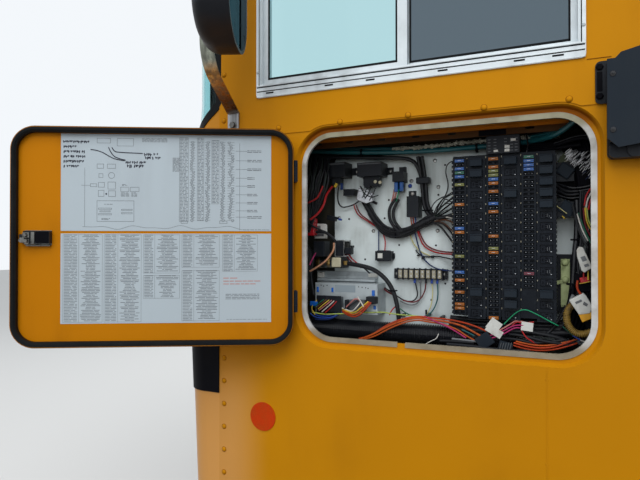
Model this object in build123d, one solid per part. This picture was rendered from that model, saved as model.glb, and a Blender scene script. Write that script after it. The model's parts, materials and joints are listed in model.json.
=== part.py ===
from build123d import *
from math import cos, degrees, radians, sin, tan
import os

os.makedirs("parts", exist_ok=True)

# Driver's side front wall of a school bus body, with its electrical bay.
# X runs rearward, Y into the bus and Z up. The origin is the middle of the
# bolt pattern in the sill rail's bottom flange. A depth is measured into the
# bus from the lower panel's outer face.

# Wall and skin
skin_y = -32.0
skin_t = 2.0
wall_rear_x = 600.0
wall_top_z = 1752.0
belt_z = 947.0
lap_height = 35.0
corner_seam_x = -518.5

# Front corner, its front face given by X at its foot, waist and top
corner_radius = 64.0
corner_foot_x = -608.0
corner_waist_x = -638.0
corner_top_x = -604.0
corner_waist_z = 640.0
corner_top_z = 1040.0
corner_end_y = 88.0
garnish_t = 3.0
garnish_z = (334.0, 705.0)

# Corner glass and its rubber
pillar_x = -513.5
cut_reach = 100.0
corner_glass_z = (966.0, 1690.0)
corner_glass_chamfer = (78.0, 64.0)
corner_glass_end_y = 62.0
corner_glass_t = 5.0
corner_glass_sink = 1.0
gasket_width = 15.0
gasket_proud = 2.5
gasket_lap = 3.0
gasket_round = 14.0

# Bay: the pressed recess round its opening, the flange and the lip trim
bay_mid_z = 708.5
recess_width = 626.0
recess_height = 493.0
recess_round = 80.0
recess_depth = 12.0
recess_slope = 6.0
hole_width = 585.0
hole_height = 450.0
hole_round = 64.0
belt_notch = 3.0
trim_wall = 2.0
trim_front_width = 8.5
trim_back_width = 6.0
trim_fit = 0.2
trim_gap_x = (-78.0, -61.0)

# Bay box, ceiling and back plate
box_x = (-354.0, 330.0)
box_z = (464.0, 946.0)
box_t = 2.0
plate_depth = 188.0
plate_t = 2.0
spacer_length = 12.0
box_back_depth = plate_depth + plate_t + spacer_length
box_ring_lap = 9.0
ceiling_leg_depth = 100.0
ceiling_drop = 22.0
ceiling_end_x = 254.0
ceiling_slot_x = (-300.0, -220.0, -140.0, -60.0, 20.0, 100.0, 180.0)
ceiling_slot = (18.0, 5.0)
plate_x = (-294.0, 306.0)
plate_z = (478.0, 912.0)
spacer_radius = 7.0
spacer_inset = 34.0

# Posts and rails
front_post_x = -462.0
rear_post_x = 392.0
end_post_x = 552.0
lower_post_x = (-214.5, 214.5)
post_depth = 40.0
post_width = 64.0
post_flange = 14.0
post_t = 2.5
sill_height = 70.0
sill_flange = 64.0
belt_rail_z = (988.0, 1030.0)
header_height = 56.0
mount_bolt_radius = 5.5
mount_bolt_x = (-450.0, -150.0, 150.0, 450.0)
header_bolt_x = (-450.0, 450.0)

# Driver's window
window_x = (-413.0, 283.0)
window_z = (1034.0, 1680.7)
window_round = 8.0
frame_flange_t = 3.5
frame_flange_width = 9.5
frame_sill_width = 31.0
frame_wall = 4.0
frame_depth = 46.0
frame_fit = 0.3
window_lap = 9.0
sash_width = 12.0
meeting_width = 21.0
sash_t = 14.0
sash_depth = (6.0, 24.0)
sash_grip = 5.0
pane_t = 4.0

# Access door, drawn shut and then swung to the angle it stands at
door_width = 600.0
door_height = 472.0
door_round = 50.0
door_depth = 17.0
door_t = 2.0
door_proud = 14.0
door_stands_at = 152.0
hinge_gap = 4.0
hinge_x = -door_width / 2 - hinge_gap
hinge_stand = 20.0
knuckle_radius = 6.0
pin_radius = 3.0
pin_clearance = 0.3
hinge_height = 47.0
hinge_z = (565.0, 856.0)
leaf_t = 3.0
leaf_length = 44.0
seal_lip = 1.2
seal_width = 11.5
seal_depth = (-9.0, 5.0)
seal_fit = 0.2
seal_chamfer = 4.0
label_t = 0.6
label_margin = (49.0, 99.0)
label_z = ((721.5, 932.0), (521.0, 716.0))
latch_from_edge = (81.0, 27.0)
latch_tip_from_edge = 19.0
latch_z = (694.0, 721.0)
latch_deep = 15.0
pull_size = (86.0, 62.0)
pull_t = 2.5

# Mirror on its bar, which stands in one upright plane
mirror_foot = (-476.0, 984.0)
mirror_bar_turn = 14.4
mirror_bar_reach = 180.0
mirror_bar_rise = 66.0
mirror_top_foot_z = 1660.0
bar_width = 30.0
bar_t = 5.0
bar_fit = 0.3
foot_half = 24.0
bar_bend = 78.0
mirror_glass_mid = (-341.0, -227.0)
mirror_z = (1076.0, 1512.0)
mirror_turn = 22.0
mirror_width = 198.0
mirror_deep = 76.0
mirror_round = 88.0
mirror_back_round = 36.0
mirror_rim = 7.0
mirror_wall = 5.0
mirror_glass_t = 4.0
mirror_glass_fit = 0.3
bar_entry = 150.0
clamp_size = (34.0, 26.0, 56.0)

# Stop arm
stop_x = (316.0, 494.0)
stop_z = (844.0, 1018.0)
stop_foot_x = 318.0
stop_foot_depth = 26.0
stop_foot_top_z = 866.0
stop_foot_round = 10.0
stop_front_x = 346.0
stop_base_depth = 30.0
stop_plate_depth = 12.0
stop_flange_x = 297.5
stop_flange_z = (946.0, 1023.0)
stop_flange_t = 4.0
stop_pivot = (326.0, -34.0)
stop_pin_radius = 4.0
stop_barrel_radius = 7.5
stop_lug_half = 6.0
stop_lug_z = ((872.0, 886.0), (990.0, 1004.0))
stop_end_gap = 0.5
guard_t = 3.0
guard_depth = -46.0
guard_left_x = 314.0
guard_right_x = 500.0
guard_z = (876.0, 1013.0)
guard_low = (331.0, 859.0)
guard_high = (326.5, 335.5, 1022.5)
guard_slope = (8.3, 13.4)
blade_size = 457.0
blade_t = 3.0
blade_left_x = 402.0
blade_mid_z = 938.0

# Fuse and relay board
board_x = (22.5, 229.0)
board_z = (539.0, 884.0)
board_face = 100.0
board_t = 42.0
board_leg_radius = 8.0
board_leg_inset = 20.0
fuse_pitch = 8.62
fuse_top_z = 873.7
fuse_row_width = 27.5
fuse_body = (20.0, 5.4)
fuse_proud = 4.5
fuse_sunk = 8.0
fuse_fit = 0.3
row_proud = 4.0
relay_pitch = 23.0
relay_rows = 15
relay_top_z = 867.0
relay_row_width = 36.5
relay_body = (25.0, 16.5)
relay_proud = 16.0
relay_sunk = 3.0
block_round = 1.5
# columns: X of the middle, number of rows, and rows that hold a fuse by colour
fuse_columns = (
    (37.6, 39, {"blue": (0, 2, 4, 17, 28), "green": (3,), "yellow": (6, 24), "tan": (11, 18, 30, 33, 36, 37)}),
    (108.2, 40, {"blue": (5, 11), "yellow": (3, 4, 22), "tan": (0, 2, 6, 8, 13, 19, 23, 39)}),
    (178.3, 32, {"blue": (1, 2, 3), "green": (0,), "red": (29,)}),
)
# columns: X of the middle, and rows that hold a relay
relay_columns = ((73.5, (0, 1, 7, 12)), (142.9, (0, 3, 12, 13)), (211.8, (0, 1, 2, 3, 4, 12)))

# Reflector disc on the lower panel
reflector_spot = (-397.0, 292.0)
reflector_radius = 33.0
reflector_t = 2.0


def skin_plane(depth):
    # X and Z of the wall, this far behind the lower panel's outer face
    return Plane(origin=(0, skin_y + depth, 0), x_dir=(1, 0, 0), z_dir=(0, -1, 0))


def plate(outline, depth, thickness):
    return extrude(skin_plane(depth) * outline, amount=-thickness)


def block(x, depth, z):
    # a box between pairs of X, depth and Z
    size = (x[1] - x[0], depth[1] - depth[0], z[1] - z[0])
    middle = ((x[0] + x[1]) / 2, skin_y + (depth[0] + depth[1]) / 2, (z[0] + z[1]) / 2)
    return Pos(*middle) * Box(*size)


def span(x, z, radius=0.0):
    # a rectangle between pairs of X and Z, its corners rounded
    width = x[1] - x[0]
    height = z[1] - z[0]
    shape = RectangleRounded(width, height, radius) if radius else Rectangle(width, height)
    return Pos((x[0] + x[1]) / 2, (z[0] + z[1]) / 2) * shape


def bay_outline(width, height, radius):
    return Pos(0, bay_mid_z) * RectangleRounded(width, height, radius)


def grown(pair, amount):
    return pair[0] - amount, pair[1] + amount


def upright(x, depth, z, radius):
    # a round bar along Z
    middle = (x, skin_y + depth, (z[0] + z[1]) / 2)
    return Pos(*middle) * Cylinder(radius, z[1] - z[0])


def stud(x, z, depth, radius):
    # a round bar along Y, between a pair of depths
    return plate(Pos(x, z) * Circle(radius), depth[0], depth[1] - depth[0])


def save(name, *shapes):
    solids = [solid for shape in shapes for solid in shape.solids()]
    export_step(Compound(children=solids, label=name), f"parts/{name}.step")


# Front corner
def front_face_x(z):
    # the corner's foremost X at a height: out from foot to waist, then back in
    if z < corner_waist_z:
        share = z / corner_waist_z
        return corner_foot_x + (corner_waist_x - corner_foot_x) * share
    share = min((z - corner_waist_z) / (corner_top_z - corner_waist_z), 1.0)
    return corner_waist_x + (corner_top_x - corner_waist_x) * share


def corner_section(z, grow):
    # plan of the corner at a height, with its outside moved out by grow
    middle = (front_face_x(z) + corner_radius, skin_y + corner_radius)
    radius = corner_radius + grow
    front_x = middle[0] - radius
    edges = [
        Line((corner_seam_x, skin_y - grow), (middle[0], skin_y - grow)),
        CenterArc(middle, radius, 180, 90),
        Line((front_x, middle[1]), (front_x, corner_end_y)),
        Line((front_x, corner_end_y), (corner_seam_x, corner_end_y)),
        Line((corner_seam_x, corner_end_y), (corner_seam_x, skin_y - grow)),
    ]
    return Pos(0, 0, z) * make_face(edges)


def corner_solid(grow):
    heights = (0.0, corner_waist_z, corner_top_z, wall_top_z)
    return loft([corner_section(z, grow) for z in heights], ruled=True)


def corner_glass_space(inset):
    # the corner glass's opening, cut back by inset all round
    ahead = corner_waist_x - cut_reach
    z_low, z_high = corner_glass_z
    outline = Polyline(
        (pillar_x, z_high),
        (pillar_x, z_low + corner_glass_chamfer[1]),
        (pillar_x - corner_glass_chamfer[0], z_low),
        (ahead, z_low),
        (ahead, z_high),
        close=True,
    )
    face = offset(make_face(outline), amount=-inset, kind=Kind.INTERSECTION) if inset else make_face(outline)
    rear = [v for v in face.vertices() if v.X > corner_waist_x]
    face = fillet(rear, gasket_round)
    reach = corner_glass_end_y - inset - skin_y
    return plate(face, -gasket_width, reach + gasket_width)


def build_corner():
    shell = corner_solid(0) - corner_solid(-skin_t)
    panel = shell - corner_glass_space(0)
    garnish = corner_solid(garnish_t) - corner_solid(0)
    reach = (-cut_reach, corner_end_y - skin_y + cut_reach)
    garnish &= block((corner_waist_x - cut_reach, corner_seam_x), reach, garnish_z)
    glass_back = -corner_glass_sink - corner_glass_t
    pane = corner_solid(-corner_glass_sink) - corner_solid(glass_back)
    pane &= corner_glass_space(gasket_width / 2)
    ring = corner_solid(gasket_proud) - corner_solid(glass_back - gasket_proud)
    ring = (ring & corner_glass_space(-gasket_lap)) - corner_glass_space(gasket_width)
    ring = ring - panel - pane
    save("corner_panel", panel)
    save("corner_garnish", garnish)
    return ring, pane


# Side panels
def recess_block(depth_in, grow):
    # the pressed recess as a block: its slope down to depth_in, grown all round
    def outline(inward):
        width = recess_width - 2 * inward + 2 * grow
        height = recess_height - 2 * inward + 2 * grow
        return bay_outline(width, height, recess_round - inward + grow)

    foot = skin_plane(depth_in) * outline(recess_slope * depth_in / recess_depth)
    mouth = skin_plane(0) * outline(0)
    return loft([mouth, foot], ruled=True)


def build_lower_panel():
    sheet = plate(span((corner_seam_x, wall_rear_x), (0, belt_z + lap_height)), 0, skin_t)
    panel = sheet + recess_block(recess_depth + skin_t, skin_t)
    panel -= recess_block(recess_depth, 0)
    return panel - plate(bay_outline(hole_width, hole_height, hole_round), 0, 2 * recess_depth)


def build_upper_panel(ring):
    sheet = plate(span((corner_seam_x, wall_rear_x), (belt_z, wall_top_z)), -skin_t, skin_t)
    notch_width = recess_width + 2 * belt_notch
    notch_height = recess_height + 2 * belt_notch
    notch = bay_outline(notch_width, notch_height, recess_round + belt_notch)
    sheet -= plate(notch, -2 * skin_t, 4 * skin_t)
    hole = span(grown(window_x, frame_fit - window_lap), grown(window_z, frame_fit - window_lap))
    sheet -= plate(hole, -2 * skin_t, 4 * skin_t)
    sheet -= corner_glass_space(0)
    return sheet - ring


def build_trim():
    # a U of moulding over the flange's edge, with the stretch that has come away
    def ring(outside, inside, depth, thickness):
        outer = bay_outline(hole_width + 2 * outside, hole_height + 2 * outside, hole_round + outside)
        inner = bay_outline(hole_width + 2 * inside, hole_height + 2 * inside, hole_round + inside)
        return plate(outer - inner, depth, thickness)

    front = recess_depth - trim_wall
    back = recess_depth + skin_t
    bore = -trim_wall - trim_fit
    web = ring(-trim_fit, bore, front, back + trim_wall - front)
    trim = web + ring(trim_front_width, bore, front, trim_wall)
    trim += ring(trim_back_width, bore, back, trim_wall)
    low = (bay_mid_z - hole_height / 2 - 3 * trim_front_width, bay_mid_z)
    return trim - block(trim_gap_x, (front - 1, back + trim_wall + 1), low)


# Bay box
def build_box():
    depth = (recess_depth + skin_t, box_back_depth)
    shell = block(grown(box_x, box_t), (depth[0], depth[1] + box_t), grown(box_z, box_t))
    inside = block(box_x, (depth[0] + box_t, depth[1]), box_z)
    mouth_w = hole_width + 2 * box_ring_lap
    mouth_h = hole_height + 2 * box_ring_lap
    mouth = plate(bay_outline(mouth_w, mouth_h, hole_round + box_ring_lap), depth[0] - 1, 4 * box_t)
    return shell - inside - mouth


def build_ceiling():
    # a yellow angle under the box's top, its slotted leg hanging in front of the hoses
    leg_depth = (ceiling_leg_depth, ceiling_leg_depth + box_t)
    x = (box_x[0], ceiling_end_x)
    top = block(x, (recess_depth + skin_t + box_t, leg_depth[1]), (box_z[1] - box_t, box_z[1]))
    leg = block(x, leg_depth, (box_z[1] - ceiling_drop, box_z[1]))
    slots = [
        plate(Pos(slot_x, box_z[1] - ceiling_drop / 2) * SlotOverall(*ceiling_slot), leg_depth[0] - 1, 2 * box_t)
        for slot_x in ceiling_slot_x
    ]
    return top + leg - slots


def build_back_plate():
    sheet = plate(span(plate_x, plate_z, spacer_radius), plate_depth, plate_t)
    for x in (plate_x[0] + spacer_inset, 0, plate_x[1] - spacer_inset):
        for z in (plate_z[0] + spacer_inset, plate_z[1] - spacer_inset):
            sheet += stud(x, z, (plate_depth + plate_t, box_back_depth), spacer_radius)
    return sheet


# Posts and rails, all pressed from sheet
def hat_post(x, z, front_depth):
    # a hat section: two flanges on the skin, two sides and a crown
    half = post_width / 2
    crown = block((x - half, x + half), (front_depth, front_depth + post_depth), z)
    hollow = (x - half + post_t, x + half - post_t)
    crown -= block(hollow, (front_depth - 1, front_depth + post_depth - post_t), grown(z, 1))
    for side in (-1, 1):
        edge = x + side * half
        foot = sorted((edge - side * post_t, edge + side * post_flange))
        crown += block(foot, (front_depth, front_depth + post_t), z)
    return crown


def build_posts():
    top = wall_top_z - header_height
    low = sill_height
    below_bay = bay_mid_z - recess_height / 2 - skin_t
    front = hat_post(front_post_x, (low, top), skin_t)
    rear = hat_post(rear_post_x, (low, top), skin_t)
    end = hat_post(end_post_x, (low, top), skin_t)
    short = [hat_post(x, (low, below_bay), skin_t) for x in lower_post_x]
    return [front, rear, end, *short]


def build_sill():
    x = (corner_seam_x, wall_rear_x)
    web = block(x, (skin_t, skin_t + post_t), (0, sill_height))
    floor = block(x, (skin_t, skin_t + sill_flange), (0, post_t))
    shelf = block(x, (skin_t, skin_t + sill_flange), (sill_height - post_t, sill_height))
    rail = web + floor + shelf
    for bolt_x in mount_bolt_x:
        rail -= Pos(bolt_x, 0, 0) * Cylinder(mount_bolt_radius, 6 * post_t)
    return rail


def build_rail(x, z, depth):
    # a channel, its web on the skin and its flanges turned into the bus
    web = block(x, (depth, depth + post_t), z)
    reach = (depth, depth + post_depth)
    return web + block(x, reach, (z[0], z[0] + post_t)) + block(x, reach, (z[1] - post_t, z[1]))


def build_header():
    rail = build_rail((corner_seam_x, wall_rear_x), (wall_top_z - header_height, wall_top_z), 0)
    for bolt_x in header_bolt_x:
        rail -= Pos(bolt_x, skin_y + post_depth / 2, wall_top_z) * Cylinder(mount_bolt_radius, 4 * post_t)
    return rail


# Driver's window
def rail_ring(x, z, left, right, low, high, depth, thickness):
    hole = span((x[0] + left, x[1] - right), (z[0] + low, z[1] - high))
    return plate(span(x, z) - hole, depth, thickness)


def build_window(corner_pane):
    face = -skin_t - frame_flange_t
    hole_z = (window_z[0] + frame_sill_width, window_z[1] - frame_flange_width)
    flange_hole = span(grown(window_x, -frame_flange_width), hole_z)
    flange = plate(span(window_x, window_z, window_round) - flange_hole, face, frame_flange_t)
    body_x = grown(window_x, -window_lap)
    body_z = grown(window_z, -window_lap)
    sill = frame_sill_width - window_lap
    wall = frame_wall
    body = rail_ring(body_x, body_z, wall, wall, sill, wall, -skin_t, frame_depth + skin_t)
    save("window_frame", flange + body)
    inner_x = grown(body_x, -wall - frame_fit)
    inner_z = (body_z[0] + sill + frame_fit, body_z[1] - wall - frame_fit)
    middle = (inner_x[0] + inner_x[1]) / 2
    half = meeting_width / 2
    sash_x = ((inner_x[0], middle + half), (middle - half, inner_x[1]))
    stiles = ((sash_width, meeting_width), (meeting_width, sash_width))
    sashes = []
    panes = []
    for x, (left, right), depth in zip(sash_x, stiles, sash_depth):
        sash = rail_ring(x, inner_z, left, right, sash_width, sash_width, depth, sash_t)
        pane_x = (x[0] + left - sash_grip, x[1] - right + sash_grip)
        pane_z = grown(inner_z, sash_grip - sash_width)
        pane_depth = depth + (sash_t - pane_t) / 2
        groove_depth = (pane_depth - frame_fit, pane_depth + pane_t + frame_fit)
        sash -= block(grown(pane_x, frame_fit), groove_depth, grown(pane_z, frame_fit))
        sashes.append(sash)
        panes.append(block(pane_x, (pane_depth, pane_depth + pane_t), pane_z))
    save("window_sashes", *sashes)
    save("window_glass", corner_pane, *panes)


# Access door, drawn shut
def swung(shape, angle=door_stands_at):
    axis = Axis((hinge_x, skin_y - hinge_stand, 0), (0, 0, 1))
    return shape.rotate(axis, -angle)


def door_ring(outside, inside, depth):
    # a rounded ring between two distances inside the door's outline
    outer = bay_outline(door_width - 2 * outside, door_height - 2 * outside, door_round - outside)
    inner = bay_outline(door_width - 2 * inside, door_height - 2 * inside, door_round - inside)
    return plate(outer - inner, depth[0], depth[1] - depth[0])


def build_door():
    face = -door_proud
    rim = face + door_depth
    pan = plate(bay_outline(door_width, door_height, door_round), face, door_depth)
    hollow = bay_outline(door_width - 2 * door_t, door_height - 2 * door_t, door_round - door_t)
    pan -= plate(hollow, face + door_t, door_depth)
    save("door_pan", swung(pan))
    seal = door_ring(-seal_lip, seal_width, seal_depth)
    crest = seal.edges().group_by(Axis.Y)[-1]
    reach = (door_width / 2 - seal_width / 2, door_height / 2 - seal_width / 2)
    inside = [
        edge for edge in crest
        if abs(edge.center().X) < reach[0] and abs(edge.center().Z - bay_mid_z) < reach[1]
    ]
    seal = chamfer(inside, seal_chamfer)
    seal -= door_ring(-seal_fit, door_t + seal_fit, (seal_depth[0] - 1, rim + seal_fit))
    save("door_seal", swung(seal))
    inner_face = face + door_t
    label_x = (label_margin[0] - door_width / 2, door_width / 2 - label_margin[1])
    sheets = [plate(span(label_x, z), inner_face, label_t) for z in label_z]
    save("door_labels", swung(sheets[0]), swung(sheets[1]))
    build_latch(face, inner_face)


def build_latch(face, inner_face):
    x = [door_width / 2 - inward for inward in latch_from_edge]
    middle_x = (x[0] + x[1]) / 2
    middle_z = (latch_z[0] + latch_z[1]) / 2
    case_depth = (inner_face, inner_face + latch_deep)
    case = block(x, case_depth, latch_z)
    tongue_x = (x[1], door_width / 2 - latch_tip_from_edge)
    tongue_z = grown(latch_z, -7)
    tongue = block(tongue_x, (case_depth[1] - 8, case_depth[1]), tongue_z)
    shank = stud(middle_x, middle_z, (face - pull_t, inner_face), 8)
    pull_plate = Pos(middle_x, middle_z) * RectangleRounded(*pull_size, 12)
    pull = plate(pull_plate, face - pull_t, pull_t)
    save("door_latch", swung(case + tongue))
    save("door_pull", swung(pull))


def hinge_parts(z):
    # body leaf with its outer knuckles and pin, and door leaf with the middle one
    third = hinge_height / 3
    low = z - hinge_height / 2
    high = z + hinge_height / 2
    whole = (low, high)
    middle = (low + third, high - third)
    axis_depth = -hinge_stand
    web_x = (hinge_x - knuckle_radius - leaf_t, hinge_x - knuckle_radius)
    foot = block((web_x[0] - leaf_length, web_x[1]), (-leaf_t, 0), whole)
    web = block(web_x, (axis_depth, 0), whole)
    bridge = block((web_x[0], hinge_x), (axis_depth - leaf_t / 2, axis_depth + leaf_t / 2), whole)
    room = upright(hinge_x, axis_depth, grown(middle, pin_clearance), knuckle_radius + pin_clearance)
    knuckle = upright(hinge_x, axis_depth, whole, knuckle_radius)
    pin = upright(hinge_x, axis_depth, whole, pin_radius)
    body_leaf = foot + web + (bridge + knuckle - room) + pin
    leaf = block((hinge_x, hinge_x + leaf_length), (-door_proud - leaf_t, -door_proud), whole)
    leaf -= upright(hinge_x, axis_depth, whole, knuckle_radius + 2 * pin_clearance)
    door_knuckle = upright(hinge_x, axis_depth, middle, knuckle_radius)
    bridge_in = block((hinge_x, hinge_x + knuckle_radius), (-door_proud - leaf_t, -door_proud), middle)
    door_leaf = leaf + door_knuckle + bridge_in
    door_leaf -= upright(hinge_x, axis_depth, whole, pin_radius + pin_clearance)
    return body_leaf, door_leaf


# Mirror
def bar_plane():
    turn = radians(mirror_bar_turn)
    out = Vector(sin(turn), -cos(turn), 0)
    origin = (mirror_foot[0], skin_y - skin_t, 0)
    return Plane(origin=origin, x_dir=out, z_dir=out.cross(Vector(0, 0, 1)))


def bar_solid(points, radii, width, thickness):
    # a flat bar along a path of (distance from the wall, Z) points
    path = FilletPolyline(*points, radius=radii)
    ribbon = offset(path, amount=thickness / 2, side=Side.LEFT)
    face = make_face(ribbon.edges())
    return extrude(bar_plane() * face, amount=width / 2, both=True)


def build_mirror():
    bars = []
    routes = []
    for foot_z, up, end_z in (
        (mirror_foot[1], 1, mirror_z[0] + bar_entry),
        (mirror_top_foot_z, -1, mirror_z[1] - bar_entry),
    ):
        neck_z = foot_z + up * (foot_half - bar_t)
        bend_z = neck_z + up * mirror_bar_rise
        points = [(bar_t, neck_z), (mirror_bar_reach, bend_z), (mirror_bar_reach, end_z)]
        foot_x = grown((mirror_foot[0], mirror_foot[0]), bar_width / 2)
        foot = block(foot_x, (-skin_t - bar_t, -skin_t), (foot_z - foot_half, foot_z + foot_half))
        bars.append(foot + bar_solid(points, [bar_bend], bar_width, bar_t))
        routes.append(points)
    save("mirror_arms", *bars)
    turn = Location((mirror_glass_mid[0], mirror_glass_mid[1], 0), (0, 0, mirror_turn))
    height = mirror_z[1] - mirror_z[0]
    middle_z = (mirror_z[0] + mirror_z[1]) / 2
    face = Plane(origin=(0, 0, middle_z), x_dir=(0, 1, 0), z_dir=(1, 0, 0))

    form = extrude(face * RectangleRounded(mirror_width, height, mirror_round), amount=-mirror_deep)
    form = fillet(form.faces().sort_by(Axis.X)[0].edges(), mirror_back_round)
    inset = mirror_wall + mirror_rim
    hollow = RectangleRounded(mirror_width - 2 * inset, height - 2 * inset, mirror_round - inset)
    hollow = extrude(face * hollow, amount=mirror_back_round - mirror_deep)
    rim_width = mirror_width - 2 * mirror_rim
    rim_height = height - 2 * mirror_rim
    rim_round = mirror_round - mirror_rim
    outline = RectangleRounded(rim_width, rim_height, rim_round)
    pocket = extrude(face * outline, amount=-mirror_glass_t - mirror_glass_fit)
    fit = 2 * mirror_glass_fit
    glass = RectangleRounded(rim_width - fit, rim_height - fit, rim_round - mirror_glass_fit)
    glass = extrude(face * glass, amount=-mirror_glass_t)
    head = turn * (form - hollow - pocket)
    for points in routes:
        away, end_z = points[-1]
        spot = bar_plane().from_local_coords(Vector(away, 0, 0))
        clamp_z = end_z - (clamp_size[2] / 2 if end_z < middle_z else -clamp_size[2] / 2)
        head += Pos(spot.X, spot.Y, clamp_z) * Rot(0, 0, mirror_bar_turn) * Box(*clamp_size)
    for points in routes:
        head -= bar_solid(points, [bar_bend], bar_width + 2 * bar_fit, bar_t + 2 * bar_fit)
    save("mirror_head", head)
    save("mirror_glass", turn * glass)


# Stop arm, folded back along the wall
def build_stop_arm():
    base = block((stop_front_x, stop_x[1]), (-stop_base_depth, -skin_t), stop_z)
    base = fillet(base.edges().filter_by(Axis.Y), 12)
    back = block((stop_x[0], stop_front_x + 20), (-stop_plate_depth, -skin_t), stop_z)
    foot = block((stop_foot_x, stop_front_x + 20), (-stop_foot_depth, -skin_t), (stop_z[0], stop_foot_top_z))
    for shape in (back, foot):
        base += fillet(shape.edges().filter_by(Axis.Y).group_by(Axis.X)[0].sort_by(Axis.Z)[0], stop_foot_round)
    flange_x = (stop_flange_x, stop_x[0] + 1)
    flange = block(flange_x, (-skin_t - stop_flange_t, -skin_t), stop_flange_z)
    base += fillet(flange.edges().filter_by(Axis.Y).sort_by(Axis.X)[:2], 9)
    pivot_x, pivot_depth = stop_pivot
    for z in stop_lug_z:
        lug_x = (pivot_x - stop_lug_half, pivot_x + stop_lug_half)
        base += block(lug_x, (pivot_depth, -skin_t), z)
        base += upright(pivot_x, pivot_depth, z, stop_lug_half)
    pin_z = (stop_lug_z[0][0], stop_lug_z[1][1])
    base += upright(pivot_x, pivot_depth, pin_z, stop_pin_radius)
    save("stop_arm_base", base)
    barrel_z = (stop_lug_z[0][1] + stop_end_gap, stop_lug_z[1][0] - stop_end_gap)
    barrel = upright(pivot_x, pivot_depth, barrel_z, stop_barrel_radius)
    web_x = (pivot_x - stop_barrel_radius, pivot_x + 2 * stop_barrel_radius)
    barrel += block(web_x, (guard_depth, pivot_depth - stop_pin_radius), barrel_z)
    barrel -= upright(pivot_x, pivot_depth, barrel_z, stop_pin_radius + pin_clearance)
    low_x, low_z = guard_low
    step_x, slope_x, high_z = guard_high
    fall, rise = (tan(radians(angle)) for angle in guard_slope)
    outline = Polyline(
        (guard_left_x, guard_z[0]),
        (low_x, low_z),
        (guard_right_x, low_z + (guard_right_x - low_x) * fall),
        (guard_right_x, high_z + (guard_right_x - slope_x) * rise),
        (slope_x, high_z),
        (step_x, guard_z[1]),
        (guard_left_x, guard_z[1]),
        close=True,
    )
    guard = plate(make_face(outline), guard_depth - guard_t, guard_t)
    save("stop_arm_guard", guard + barrel)
    middle = (blade_left_x + blade_size / 2, blade_mid_z)
    octagon = Pos(*middle) * RegularPolygon(blade_size / 2, 8, major_radius=False, rotation=22.5)
    save("stop_arm_blade", plate(octagon, guard_depth, blade_t))


# Fuse and relay board
def build_board():
    board = block(board_x, (board_face, board_face + board_t), board_z)
    board = fillet(board.edges().filter_by(Axis.Y), block_round)
    rail = (board_face - row_proud, board_face)
    for x, rows, _ in fuse_columns:
        rows_low = fuse_top_z - (rows - 0.5) * fuse_pitch
        half = fuse_row_width / 2
        board += block((x - half, x + half), rail, (rows_low, fuse_top_z + fuse_pitch / 2))
    sockets_low = relay_top_z - (relay_rows - 0.5) * relay_pitch
    for x, _ in relay_columns:
        half = relay_row_width / 2
        board += block((x - half, x + half), rail, (sockets_low, relay_top_z + relay_pitch / 2))
    for x, rows, _ in fuse_columns:
        for row in range(rows):
            z = fuse_top_z - row * fuse_pitch
            pocket = (fuse_body[0] / 2 + fuse_fit, fuse_body[1] / 2 + fuse_fit)
            depth = (board_face - row_proud - 1, board_face - row_proud + fuse_sunk)
            board -= block((x - pocket[0], x + pocket[0]), depth, (z - pocket[1], z + pocket[1]))
    for x, filled in relay_columns:
        for row in range(relay_rows):
            z = relay_top_z - row * relay_pitch
            pocket = (relay_body[0] / 2 + fuse_fit, relay_body[1] / 2 + fuse_fit)
            depth = (board_face - row_proud - 1, board_face - row_proud + relay_sunk)
            board -= block((x - pocket[0], x + pocket[0]), depth, (z - pocket[1], z + pocket[1]))
    for x in (board_x[0] + board_leg_inset, board_x[1] - board_leg_inset):
        for z in (board_z[0] + board_leg_inset, board_z[1] - board_leg_inset):
            board += stud(x, z, (board_face + board_t, plate_depth), board_leg_radius)
    save("fuse_board", board)
    front = board_face - row_proud
    by_colour = {}
    for x, _, colours in fuse_columns:
        half = (fuse_body[0] / 2, fuse_body[1] / 2)
        for colour, rows in colours.items():
            for row in rows:
                z = fuse_top_z - row * fuse_pitch
                depth = (front - fuse_proud, front + fuse_sunk - fuse_fit)
                fuse = block((x - half[0], x + half[0]), depth, (z - half[1], z + half[1]))
                by_colour.setdefault(colour, []).append(fuse)
    for colour, fuses in by_colour.items():
        save(f"fuses_{colour}", *fuses)
    relays = []
    for x, rows in relay_columns:
        half = (relay_body[0] / 2, relay_body[1] / 2)
        for row in rows:
            z = relay_top_z - row * relay_pitch
            depth = (front - relay_proud, front + relay_sunk - fuse_fit)
            relays.append(block((x - half[0], x + half[0]), depth, (z - half[1], z + half[1])))
    save("board_relays", *relays)


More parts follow.
